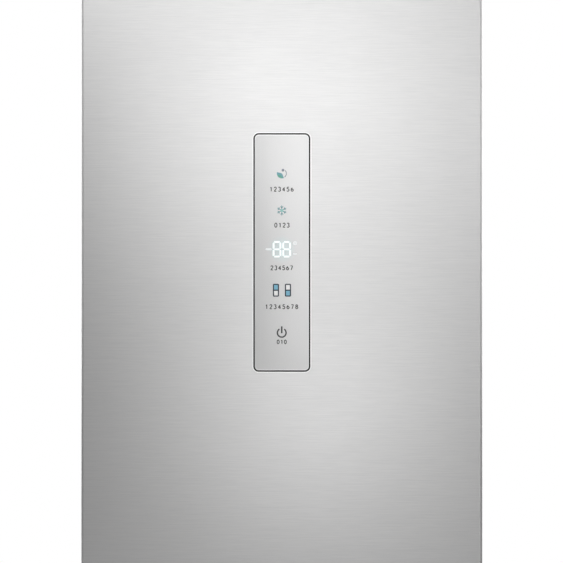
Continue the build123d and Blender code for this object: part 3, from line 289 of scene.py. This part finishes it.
def shelf_glass():
    """Toughened shelf glass with a green tint that shows at its front edges."""
    paint = Paint("shelf glass")
    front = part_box("shelf_glass_1")[0].y
    start, stop = glass_fade
    edge = paint.axis("Y").span(front + start, front + stop, 1.0, 0.0)
    smear = paint.noise(7.0, detail=3.0, roughness=0.6)
    colour = paint.mix(edge, (0.84, 0.93, 0.91, 1.0), (0.32, 0.62, 0.55, 1.0))
    return paint.surface(Base_Color=colour, Roughness=0.03 + smear * 0.05, Alpha=0.26 + edge * 0.5)


def satin_metal(name, level, stretch, rough, contrast=0.14):
    """Drawn or polished metal with streaks along one direction."""
    paint = Paint(name)
    streak = paint.noise(1.0, detail=3.0, roughness=0.6, stretch=stretch)
    cloud = paint.noise(30.0)
    colour = paint.mix(streak.spread(), grey(level * (1 - contrast)), grey(level))
    return paint.surface(Base_Color=colour, Metallic=1.0, Roughness=rough + cloud * 0.1,
                         Normal=paint.bump(streak, distance=0.01 * millimetre, strength=0.4))


def zinc_sheet():
    """Galvanised sheet with its flowery crystals."""
    paint = Paint("zinc sheet")
    crystal = paint.part("X", paint.cells(85.0, "Color"))
    scratch = paint.noise(240.0, detail=3.0, roughness=0.6)
    colour = paint.mix(crystal.span(0.0, 1.0), grey(0.50, warm=-0.01), grey(0.62, warm=-0.01))
    return paint.surface(Base_Color=colour, Metallic=0.85,
                         Roughness=0.38 + crystal * 0.14 + scratch * 0.05)


def cabinet_paint():
    """Grey stove enamel on the cabinet with a fine pebble texture."""
    paint = Paint("cabinet enamel")
    pebble = paint.noise(900.0)
    cloud = paint.noise(3.0)
    colour = paint.mix(cloud.spread(), grey(0.395, warm=-0.006), grey(0.43, warm=-0.006))
    return paint.surface(Base_Color=colour, Roughness=0.36 + pebble * 0.1, Metallic=0.25,
                         Normal=paint.bump(pebble, distance=0.06 * millimetre, strength=0.5))


def gasket_rubber():
    """Soft grey magnetic seal, matt with dusty tone changes."""
    paint = Paint("gasket")
    dust = paint.noise(45.0, detail=3.0, roughness=0.6)
    colour = paint.mix(dust.spread(), grey(0.30), grey(0.36, warm=0.01))
    return paint.surface(Base_Color=colour, Roughness=0.62 + dust * 0.12,
                         Normal=paint.bump(paint.noise(1800.0), distance=0.02 * millimetre, strength=0.4))


def foam_block():
    """Cream insulating foam with small cells."""
    paint = Paint("foam")
    bubbles = paint.cells(700.0, "Distance")
    colour = paint.mix(bubbles.span(0.0, 0.8), (0.74, 0.66, 0.42, 1.0), (0.86, 0.79, 0.56, 1.0))
    return paint.surface(Base_Color=colour, Roughness=0.9,
                         Normal=paint.bump(bubbles, distance=0.3 * millimetre, strength=0.7))


def black_enamel():
    """Glossy black enamel of the compressor with slight runs."""
    paint = Paint("compressor enamel")
    run = paint.noise(30.0, detail=3.0, roughness=0.6, stretch=(1.0, 1.0, 0.3))
    return paint.surface(Base_Color=paint.mix(run.spread(), grey(0.014), grey(0.024)),
                         Roughness=0.22 + run * 0.16, Coat_Weight=0.4,
                         Normal=paint.bump(run, distance=0.3 * millimetre, strength=0.3))


def copper_tube():
    """Copper tube with darker brown patches where it has dulled."""
    paint = Paint("copper")
    dull = paint.noise(55.0, detail=4.0, roughness=0.6)
    colour = paint.mix(dull.span(0.4, 0.65), (0.78, 0.40, 0.24, 1.0), (0.42, 0.21, 0.13, 1.0))
    return paint.surface(Base_Color=colour, Metallic=1.0, Roughness=0.24 + dull * 0.25)


def lit_segments():
    """Light guides that glow cool white at their front ends, less beside the two figures, and dim behind."""
    paint = Paint("display light")
    haze = paint.noise(900.0)
    tint = paint.mix(haze.spread(), (0.84, 0.97, 0.97, 1.0), (0.95, 1.0, 1.0, 1.0))
    start, stop = guide_fade
    near = paint.axis("Y").span(display_low.y + start, display_low.y + stop, 1.0, 0.0)
    aside = paint.axis("X").maths("ABSOLUTE").span(*figures_fade)
    glow = paint.mix(near, grey(0.12), paint.mix(aside, tint, grey(0.55, warm=-0.05)))
    return paint.surface(Base_Color=paint.mix(near, grey(0.3), tint), Roughness=0.3 + haze * 0.1,
                         Emission_Color=glow, Emission_Strength=display_strength)


def light_lens():
    """Frosted ceiling lens, bright enough to light the fridge when its door is open."""
    paint = Paint("ceiling lens")
    frost = paint.noise(400.0)
    colour = paint.mix(frost, (0.93, 0.94, 0.92, 1.0), (1.0, 1.0, 0.98, 1.0))
    return paint.surface(Base_Color=colour, Roughness=0.5 + frost * 0.2, Emission_Color=colour,
                         Emission_Strength=lens_strength)


def circuit_board():
    """Green lacquered board with copper tracks in both directions."""
    paint = Paint("circuit board")
    across = paint.noise(1.0, detail=1.0, stretch=track_stretch).above(track_limit)
    upward = paint.noise(1.0, detail=1.0, stretch=track_stretch[::-1]).above(track_limit)
    track = across.maths("MAXIMUM", upward)
    colour = paint.mix(track, (0.02, 0.12, 0.05, 1.0), (0.05, 0.24, 0.10, 1.0))
    return paint.surface(Base_Color=colour, Roughness=0.4 - track * 0.1)


def printed_ink(name, first, second, shine=0.0):
    """Screen-printed ink on the panel, with a slightly uneven film and some metal flake in it."""
    paint = Paint(name)
    film = paint.noise(1400.0)
    return paint.surface(Base_Color=paint.mix(film.spread(), first, second), Roughness=0.34 + film * 0.08,
                         Metallic=shine)


finishes = {
    "brushed_steel": brushed_steel(),
    "panel_plate": panel_plate(),
    "display_light": lit_segments(),
    "circuit_board": circuit_board(),
    "black_plastic": grained_plastic("black plastic", level=0.02),
    "grey_plastic": grained_plastic("dark grey plastic", level=0.085),
    "white_liner": white_liner(),
    "clear_plastic": clear_plastic(),
    "trim": satin_metal("shelf trim", level=0.78, stretch=(14.0, 1400.0, 1400.0), rough=0.26),
    "shelf_glass": shelf_glass(),
    "cabinet_paint": cabinet_paint(),
    "zinc_steel": zinc_sheet(),
    "foam": foam_block(),
    "gasket": gasket_rubber(),
    "compressor_paint": black_enamel(),
    "rubber": grained_plastic("mount rubber", level=0.018, rough=0.7, grain_scale=900.0,
                              depth=0.1 * millimetre),
    "copper": copper_tube(),
    "fins": satin_metal("evaporator fins", level=0.8, stretch=(900.0, 40.0, 40.0), rough=0.3),
    "light_lens": light_lens(),
}
slot_of = {part["node"]: part["material_slot"] for part in frame["record"]["subparts"]}
for name, node in nodes.items():
    node.data.materials.clear()
    node.data.materials.append(finishes[slot_of[name]])


# Surfaces from numpy
sharp_angle = math.radians(40)
merge_distance = 0.0001 * millimetre
corner_steps = 8


def grid_faces(rows, columns, closed=(False, False), caps=False, first=0):
    """Four-sided faces of a grid of points that are counted row by row from a first number.

    closed says whether the last row and the last column join the first. caps closes the two end rows
    with one flat face each.
    """
    row = np.arange(rows if closed[0] else rows - 1)
    column = np.arange(columns if closed[1] else columns - 1)
    r, c = np.meshgrid(row, column, indexing="ij")
    r2, c2 = (r + 1) % rows, (c + 1) % columns
    quads = np.stack([r * columns + c, r * columns + c2, r2 * columns + c2, r2 * columns + c], -1)
    faces = (quads.reshape(-1, 4) + first).tolist()
    if caps:
        end = np.arange(columns) + first
        faces += [end[::-1].tolist(), (end + (rows - 1) * columns).tolist()]
    return faces


def mesh_piece(name, points, faces, finish, body, smooth=True):
    """Object at the origin whose mesh holds the points, with its normals turned outwards."""
    mesh = bpy.data.meshes.new(name)
    mesh.from_pydata(np.asarray(points, float).tolist(), [], faces)
    work = bmesh.new()
    work.from_mesh(mesh)
    bmesh.ops.remove_doubles(work, verts=work.verts, dist=merge_distance)
    bmesh.ops.recalc_face_normals(work, faces=work.faces)
    work.to_mesh(mesh)
    work.free()
    mesh.polygons.foreach_set("use_smooth", np.full(len(mesh.polygons), smooth))
    mesh.set_sharp_from_angle(angle=sharp_angle)
    mesh.materials.append(finishes[finish] if isinstance(finish, str) else finish)
    piece = bpy.data.objects.new(name, mesh)
    bpy.context.scene.collection.objects.link(piece)
    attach(piece, body)
    return piece


def ring_path(half_x, low_z, high_z, radius):
    """Rounded rectangle in the XZ plane as (points, outward directions): four quarter circles in turn.

    A point is its corner's centre plus the radius times the cosine and sine of its angle.
    """
    centres = [(half_x - radius, high_z - radius), (-half_x + radius, high_z - radius),
               (-half_x + radius, low_z + radius), (half_x - radius, low_z + radius)]
    turns = np.linspace(0, np.pi / 2, corner_steps)
    points, outward = [], []
    for quarter, (x, z) in enumerate(centres):
        angle = turns + quarter * np.pi / 2
        direction = np.stack([np.cos(angle), np.sin(angle)], -1)
        points.append(np.array([x, z]) + radius * direction)
        outward.append(direction)
    return np.concatenate(points), np.concatenate(outward)


def framed(name, path, profile, finish, body):
    """Profile of (outward, depth) pairs carried round a closed path in the XZ plane.

    A point is the path's point plus outward times the path's outward direction, at the profile's depth.
    """
    points, outward = path
    flat = points[:, None, :] + outward[:, None, :] * profile[None, :, :1]
    depth = np.broadcast_to(profile[:, 1], flat.shape[:2])
    grid = np.stack([flat[..., 0], depth, flat[..., 1]], -1)
    faces = grid_faces(*grid.shape[:2], closed=(True, True))
    return mesh_piece(name, grid.reshape(-1, 3), faces, finish, body)


# Door seals: the folds and the radius of the head's rounding are shares of the seal's depth
seal_foot = 12.0 * millimetre
seal_head = 20.0 * millimetre
fold_swing = 1.2 * millimetre
fold_taper = 1.5 * millimetre
fold_share = 0.55
head_share = 0.225
fold_steps = 12


def seal_profile(back, front):
    """Section of the seal as (outward, depth): a flat foot, two soft folds, then a wide rounded head.

    The folds are a sine of the depth added to a slightly leaning side; the head's sides are half circles.
    """
    depth = front - back
    rise = np.linspace(0, 1, fold_steps)
    half = seal_foot / 2 - fold_taper * rise + fold_swing * np.sin(rise * 2 * np.pi)
    side = np.stack([half, back + depth * fold_share * rise], -1)
    turn = np.linspace(-np.pi / 2, np.pi / 2, fold_steps)
    bulge = depth * head_share
    head = np.stack([seal_head / 2 - bulge + bulge * np.cos(turn), front - bulge + bulge * np.sin(turn)], -1)
    right = np.concatenate([side, head])
    left = right[::-1] * [-1, 1]
    return np.concatenate([right, left]) + [seal_head / 2, 0]


def mitred_path(half_x, low_z, high_z):
    """Rectangle in the XZ plane whose corners carry a profile out along the mitre."""
    corners = np.array([(half_x, high_z), (-half_x, high_z), (-half_x, low_z), (half_x, low_z)])
    return corners, np.array([(1, 1), (-1, 1), (-1, -1), (1, -1)], float)


def door_seal(door, body):
    """Seal of one door, in the place of its plain frame."""
    node = f"{door}_gasket"
    low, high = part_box(node)
    path = mitred_path(high.x - seal_head, low.z + seal_head, high.z - seal_head)
    seal = framed(f"{door}_seal", path, seal_profile(low.y, high.y), "gasket", body)
    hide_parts(node)


door_seal("upper_door", "fridge_door")
door_seal("lower_door", "freezer_door")

# Control panel
plate_middle = (plate_low + plate_high) / 2
plate_face = plate_low.y
panel_gap = 2.2 * millimetre
panel_recess = 1.0 * millimetre
window_radius = 8.0 * millimetre
print_height = 0.07 * millimetre
# Sections of the two bright bands round the gap, as (outward, depth) pairs in millimetres
hem_section = ((0.0, 0.1), (0.08, -0.12), (1.52, -0.12), (1.6, 0.1))
rim_section = ((-1.4, 0.1), (-1.35, -0.11), (-0.15, -0.05), (0.05, 0.15), (0.05, 0.6), (-1.4, 0.6))
bright_silver = satin_metal("bright silver", level=1.0, stretch=(400.0, 400.0, 400.0), rough=0.26,
                            contrast=0.04)


def window_hem():
    """Folded bright edge of the steel round the panel: a flat band with a steep chamfer on both sides."""
    profile = np.array(hem_section) * millimetre + [0, plate_face - panel_recess]
    half_x = plate_high.x + panel_gap
    path = ring_path(half_x, plate_low.z - panel_gap, plate_high.z + panel_gap, window_radius)
    hem = framed("panel_window_hem", path, profile, bright_silver, "fridge_door")


def plate_rim():
    """Polished edge round the panel's plate: a band that leans back outwards, then drops into the gap."""
    profile = np.array(rim_section) * millimetre + [0, plate_face]
    path = ring_path(plate_high.x, plate_low.z, plate_high.z, window_radius - panel_gap)
    rim = framed("panel_plate_rim", path, profile, bright_silver, "fridge_door")


window_hem()
plate_rim()

# Inks of the panel's print, each between two close colours
ink_dark = printed_ink("dark print", grey(0.03, warm=0.01), grey(0.045, warm=0.01))
ink_grey = printed_ink("grey print", grey(0.04), grey(0.06))
ink_slate = printed_ink("slate print", (0.26, 0.29, 0.34, 1.0), (0.31, 0.34, 0.39, 1.0), shine=0.7)
ink_navy = printed_ink("navy print", (0.012, 0.022, 0.04, 1.0), (0.02, 0.032, 0.055, 1.0))
ink_frost = printed_ink("frost print", (0.12, 0.34, 0.38, 1.0), (0.17, 0.42, 0.46, 1.0), shine=0.6)
ink_teal = printed_ink("teal print", (0.20, 0.44, 0.50, 1.0), (0.26, 0.50, 0.56, 1.0), shine=0.7)
ink_mint = printed_ink("mint print", (0.34, 0.66, 0.62, 1.0), (0.40, 0.72, 0.68, 1.0), shine=0.7)
ink_green = printed_ink("green print", (0.17, 0.46, 0.34, 1.0), (0.23, 0.54, 0.40, 1.0), shine=0.7)
ink_blue = printed_ink("blue print", (0.24, 0.52, 0.67, 1.0), (0.30, 0.58, 0.73, 1.0), shine=1.0)
ink_pale = printed_ink("pale print", grey(0.95), grey(1.0), shine=1.0)

# The photograph's scale, and the panel's middle in its pixels
pixel = 1.486 * millimetre
middle_column = 281.94
middle_row = 252.5
arc_steps = 28
circle_steps = 32


def at(column, row):
    """Place on the panel's face for a pixel of the photograph, as (x, z)."""
    return np.array([(column - middle_column) * pixel, plate_middle.z + (middle_row - row) * pixel])


def printed(name, bands, ink, lift=1.0):
    """Ink a hair proud of the plate. Each band is two side lines and whether they close on themselves.

    A band's grid has four columns: left and right side at the front, then right and left at the back.
    """
    front, back = plate_face - print_height * lift, plate_face + print_height
    grids, faces, count = [], [], 0
    for left, right, closed in bands:
        sides = ((left, front), (right, front), (right, back), (left, back))
        grid = np.stack([np.insert(side, 1, depth, axis=1) for side, depth in sides], 1)
        faces += grid_faces(len(grid), len(sides), (closed, True), not closed, count)
        grids.append(grid.reshape(-1, 3))
        count += len(grids[-1])
    piece = mesh_piece(name, np.concatenate(grids), faces, ink, "fridge_door", smooth=False)


def stroke(points, width, closed=False):
    """Band of even width along a line: each point is moved to both sides along the local normal."""
    line = np.asarray(points, float)
    along = np.roll(line, -1, 0) - np.roll(line, 1, 0) if closed else np.gradient(line, axis=0)
    along /= np.linalg.norm(along, axis=1)[:, None]
    side = np.stack([-along[:, 1], along[:, 0]], -1) * width / 2
    return line + side, line - side, closed


def arc(centre, radius, start, stop, steps=arc_steps):
    """Centre plus radius times cosine and sine, between two angles in degrees, anticlockwise from +X."""
    angle = np.radians(np.linspace(start, stop, steps))
    return centre + radius * np.stack([np.cos(angle), np.sin(angle)], -1)


def circle(centre, radius):
    """Points once round a circle, without a second point on the first."""
    return arc(centre, radius, 0.0, 360.0, circle_steps + 1)[:-1]


def cut_disc(centre, radius, start, stop, swell):
    """Part of a disc between its arc and the chord; the chord swells out by a squared sine."""
    left = arc(centre, radius, start, stop)
    share = np.linspace(0, 1, len(left))[:, None]
    chord = left[-1] - left[0]
    outward = np.array([-chord[1], chord[0]]) / np.linalg.norm(chord)
    right = left[0] + chord * share + outward * swell * np.sin(np.pi * share) ** 2
    return left, right, False


def oblong(low, high):
    """Upright rectangle between two corners."""
    z = np.array([low[1], high[1]])
    return np.stack([np.full(2, low[0]), z], -1), np.stack([np.full(2, high[0]), z], -1), False


# Snowflake: the points, fork and twigs of an arm as shares of its reach, and a twig's lean in degrees
flake_arms = 6
arm_shares = (0.12, 0.56, 1.0)
fork_share = 0.55
twig_share = 0.38
twig_width_share = 0.8
twig_lean = 50


def snowflake(centre, reach, width):
    """Straight arms at even angles, with a pair of short twigs on each."""
    bands = []
    for turn in range(flake_arms):
        angle = math.radians(90 + turn * 360 / flake_arms)
        way = np.array([math.cos(angle), math.sin(angle)])
        bands.append(stroke([centre + way * reach * share for share in arm_shares], width))
        fork = centre + way * reach * fork_share
        for lean in (-twig_lean, twig_lean):
            twig = angle + math.radians(lean)
            tip = fork + reach * twig_share * np.array([math.cos(twig), math.sin(twig)])
            bands.append(stroke([fork, (fork + tip) / 2, tip], width * twig_width_share))
    return bands


# Plain figures one unit high, as lines of points and as arcs: a middle, a radius and two angles in degrees
figure_lines = {
    "0": ("oval",),
    "1": ([(-0.15, 0.80), (0.0, 0.93), (0.06, 1.0), (0.06, 0.75), (0.06, 0.0)],),
    "2": ((0.0, 0.74, 0.26, 165, -35), [(0.20, 0.58), (-0.05, 0.28), (-0.26, 0.0), (0.0, 0.0), (0.27, 0.0)]),
    "3": ((-0.02, 0.77, 0.23, 150, -80), (-0.02, 0.27, 0.27, 85, -150)),
    "4": ([(0.12, 0.0), (0.12, 0.5), (0.12, 1.0), (-0.06, 0.66), (-0.27, 0.28), (0.0, 0.28), (0.29, 0.28)],),
    "5": ([(0.22, 1.0), (0.02, 1.0), (-0.16, 1.0), (-0.18, 0.8), (-0.20, 0.56)],
          (-0.02, 0.31, 0.29, 122, -150)),
    "6": ((0.24, 0.36, 0.50, 112, 185), (0.0, 0.28, 0.26, 170, 530)),
    "7": ([(-0.25, 1.0), (0.0, 1.0), (0.25, 1.0), (0.08, 0.5), (-0.08, 0.0)],),
    "8": ((0.0, 0.76, 0.21, -90, 270), (0.0, 0.28, 0.26, 90, 450)),
}
oval_half = (0.27, 0.5)
figure_steps = 20
figure_width_share = 0.6
figure_line = 0.85 * pixel


def figure(sign, foot, height):
    """Bands of one figure that stands on a point, its foot."""
    bands = []
    for line in figure_lines[sign]:
        if line == "oval":
            shape = circle(np.zeros(2), 1.0) * oval_half + [0, oval_half[1]]
        elif isinstance(line, tuple):
            x, z, radius, start, stop = line
            shape = arc(np.array([x, z]), radius, start, stop, figure_steps)
        else:
            shape = np.array(line)
        bands.append(stroke(foot + shape * height, figure_line, closed=line == "oval"))
    return bands


# Labels: their figures, then column, row, span and height in the photograph's pixels
labels = {
    "eco_label": ("123456", 281.7, 189.4, 23.6, 4.1),
    "fast_freeze_label": ("0123", 282.1, 225.3, 14.8, 4.1),
    "display_label": ("234567", 281.8, 267.9, 22.1, 4.1),
    "zone_label": ("12345678", 281.7, 306.7, 32.6, 4.1),
    "power_label": ("010", 281.85, 341.8, 9.4, 3.7),
}


def numerals(name):
    """Label of plain figures, evenly spaced over its span."""
    text, column, row, span, height = labels[name]
    half = (span - figure_width_share * height) / 2 * pixel
    foot = at(column, row + height / 2)
    bands = []
    for sign, across in zip(text, np.linspace(-half, half, len(text))):
        bands += figure(sign, foot + [across, 0], height * pixel)
    printed(name, bands, ink_dark)


def dot(name, centre, radius, ink, lift=1.0):
    """Round printed spot: a very flat drum with both ends closed."""
    ring = circle(centre, radius)
    depths = (plate_face - print_height * lift, plate_face + print_height)
    rings = np.stack([np.insert(ring, 1, depth, axis=1) for depth in depths])
    faces = grid_faces(*rings.shape[:2], closed=(False, True), caps=True)
    piece = mesh_piece(name, rings.reshape(-1, 3), faces, ink, "fridge_door", smooth=False)


def outline(name, centre, half_x, half_z, radius, width, ink, lift):
    """Rounded frame of even width about a centre."""
    points, outward = ring_path(half_x, centre[1] - half_z, centre[1] + half_z, radius)
    outer = points + [centre[0], 0]
    printed(name, [(outer, outer - outward * width, True)], ink, lift)


# Lines of the signs, and how proud a second coat and the zones' fields and frames stand, in single coats
thin_line = 0.7 * pixel
bold_line = 1.4 * pixel
second_coat = 2.0
zone_coat = 0.8
zone_frame_coat = 1.4

# Signs from the top of the panel down: places in the photograph's pixels, turns in degrees
eco = at(281.9, 173.7)
eco_radius = 4.9 * pixel
bowl_turn = (161, 298)
bowl_swell = 1.8 * pixel
leaf_turn = (190, 288)
leaf_swell = 0.5 * pixel
leaf_radius = eco_radius - 0.3 * pixel
eco_arc_turn = (-52, 42)
eco_dot = at(283.1, 170.4)
eco_dot_radius = 1.35 * pixel
printed("eco_bowl", [cut_disc(eco, eco_radius, *bowl_turn, bowl_swell)], ink_teal)
printed("eco_leaf", [cut_disc(eco, leaf_radius, *leaf_turn, leaf_swell)], ink_green, second_coat)
dot("eco_dot", eco_dot, eco_dot_radius, ink_slate)
printed("eco_arc", [stroke(arc(eco, eco_radius - thin_line / 2, *eco_arc_turn), thin_line)], ink_slate)
numerals("eco_label")

flake = at(281.9, 210.6)
flake_reach = 5.0 * pixel
flake_middle_radius = 1.5 * pixel
printed("fast_freeze_sign", snowflake(flake, flake_reach, thin_line), ink_frost)
dot("fast_freeze_middle", flake, flake_middle_radius, ink_mint, second_coat)
numerals("fast_freeze_label")

# The lit ring at the display's upper right corner has its hole filled level with the plate
degree_radius = 2.5 * millimetre
degree_hole = 1.6 * millimetre
degree = np.array([display_high.x - degree_radius, display_high.z - degree_radius])
dot("degree_middle", degree, degree_hole, "panel_plate", lift=0.0)
numerals("display_label")

freezer_column, fridge_column, zone_row = 276.05, 288.05, 290.2
zone_half_x, zone_half_z = 3.05 * pixel, 6.4 * pixel
zone_radius = 1.1 * pixel
zone_line = 1.15 * pixel
half_bar = 0.6 * pixel
inner_x, inner_z = zone_half_x - zone_line, zone_half_z - zone_line
for side, column, upper, lower in (("freezer", freezer_column, ink_blue, ink_pale),
                                   ("fridge", fridge_column, ink_pale, ink_blue)):
    middle = at(column, zone_row)
    fields = {"top": (upper, half_bar, inner_z, zone_coat), "bottom": (lower, -inner_z, -half_bar, zone_coat),
              "bar": (ink_navy, -half_bar, half_bar, 1.0)}
    for field, (ink, low_z, high_z, coat) in fields.items():
        area = oblong(middle + [-inner_x, low_z], middle + [inner_x, high_z])
        printed(f"{side}_zone_{field}", [area], ink, coat)
    outline(f"{side}_zone_frame", middle, zone_half_x, zone_half_z, zone_radius, zone_line, ink_navy,
            zone_frame_coat)
numerals("zone_label")

power = at(281.85, 332.7)
power_radius = 4.35 * pixel
power_turn = (122, 416)
power_bar_half = 0.75 * pixel
power_bar_ends = (-0.4 * pixel, 6.4 * pixel)
power_ring = stroke(arc(power, power_radius, *power_turn), bold_line)
power_bar = oblong(power + [-power_bar_half, power_bar_ends[0]], power + [power_bar_half, power_bar_ends[1]])
printed("power_sign", [power_ring, power_bar], ink_grey)
numerals("power_label")

# Stage: pale floor, white world to the camera, soft studio light
floor_half = 6.0
world_fill = 0.05
door_middle = (0.0, -0.3, 1.3)
cabinet_middle = (0.0, 0.0, 1.0)
# Strips in front of the doors: for each place across, the energy at each height
strip_y = -2.7
strip_size = (0.3, 0.6)
strip_heights = (1.1, 1.8, 2.5)
strip_energies = {
    -0.6: (0.0, 0.0, 2.53),
    -0.25: (0.24, 1.02, 0.76),
    0.1: (1.34, 1.38, 0.85),
    0.45: (0.19, 0.54, 1.16),
    0.9: (0.24, 1.09, 0.0),
    1.4: (0.0, 0.3, 0.0),
}
# Larger lights for the sides, the door's folded edges and the back: place, aim, size and energy
lights = {
    "left side": ((-3.6, 1.6, 2.2), cabinet_middle, (1.8, 2.6), 40.0),
    "right side": ((3.6, 1.6, 2.2), cabinet_middle, (1.8, 2.6), 40.0),
    "left edge": ((-2.7, -1.3, 2.0), door_middle, (2.4, 1.6), 9.0),
    "right edge": ((2.7, -1.3, 2.0), door_middle, (2.4, 1.6), 9.0),
    "back": ((0.6, 4.2, 2.6), cabinet_middle, (3.0, 2.4), 70.0),
}
overhead_strength = 1.6
overhead_softness = math.radians(50)


def stage_floor():
    """Flat square of pale floor under the feet."""
    corners = np.array([(-1, -1, 0), (1, -1, 0), (1, 1, 0), (-1, 1, 0)]) * floor_half
    mesh = bpy.data.meshes.new("floor")
    mesh.from_pydata(corners.tolist(), [], [(0, 1, 2, 3)])
    paint = Paint("floor paint")
    colour = paint.mix(paint.noise(2.0), grey(0.82), grey(0.86))
    mesh.materials.append(paint.surface(Base_Color=colour, Roughness=0.6))
    piece = bpy.data.objects.new("floor", mesh)
    bpy.context.scene.collection.objects.link(piece)


def stage_world(fill):
    """White for the camera, a soft grey for everything it lights."""
    world = bpy.data.worlds.new("studio")
    tree = Tree(world)
    seen, lit = [tree.add("ShaderNodeBackground", sockets={"Color": grey(1.0), "Strength": strength})
                 for strength in (1.0, fill)]
    to_camera = tree.add("ShaderNodeLightPath").value("Is Camera Ray")
    blend = tree.add("ShaderNodeMixShader", sockets={0: to_camera, 1: lit.value(0), 2: seen.value(0)})
    tree.add("ShaderNodeOutputWorld", sockets={"Surface": blend.value(0)})
    bpy.context.scene.world = world


def soft_light(name, place, aim, size, energy):
    """Rectangular area light aimed at a point, not seen by the camera."""
    light = bpy.data.lights.new(name, "AREA")
    light.shape = "RECTANGLE"
    light.size, light.size_y = size
    light.energy = energy
    piece = bpy.data.objects.new(name, light)
    piece.location = place
    piece.rotation_euler = (Vector(aim) - Vector(place)).to_track_quat("-Z", "Y").to_euler()
    piece.visible_camera = False
    bpy.context.scene.collection.objects.link(piece)


def overhead_light():
    """Even, very soft light from straight above, the same near the cabinet and far off on the floor."""
    light = bpy.data.lights.new("overhead", "SUN")
    light.energy = overhead_strength
    light.angle = overhead_softness
    bpy.context.scene.collection.objects.link(bpy.data.objects.new("overhead", light))


stage_floor()
stage_world(world_fill)
for across, energies in strip_energies.items():
    for height, energy in zip(strip_heights, energies):
        if energy > 0:
            soft_light(f"strip {across} {height}", (across, strip_y, height), door_middle, strip_size, energy)
for name, setting in lights.items():
    soft_light(name, *setting)
overhead_light()

# Camera: the photograph's flat front view of the door's middle
camera = bpy.data.cameras.new("camera")
camera.lens = 150.0
camera.sensor_width = 36.0
camera.clip_start = 0.05
camera.clip_end = 60.0
camera_stand = bpy.data.objects.new("camera", camera)
camera_stand.location = (-0.0005, -3.779, 1.3769)
camera_stand.rotation_euler = (math.pi / 2, 0.0, 0.0)
bpy.context.scene.collection.objects.link(camera_stand)
bpy.context.scene.camera = camera_stand
bpy.context.scene.view_settings.view_transform = "Standard"
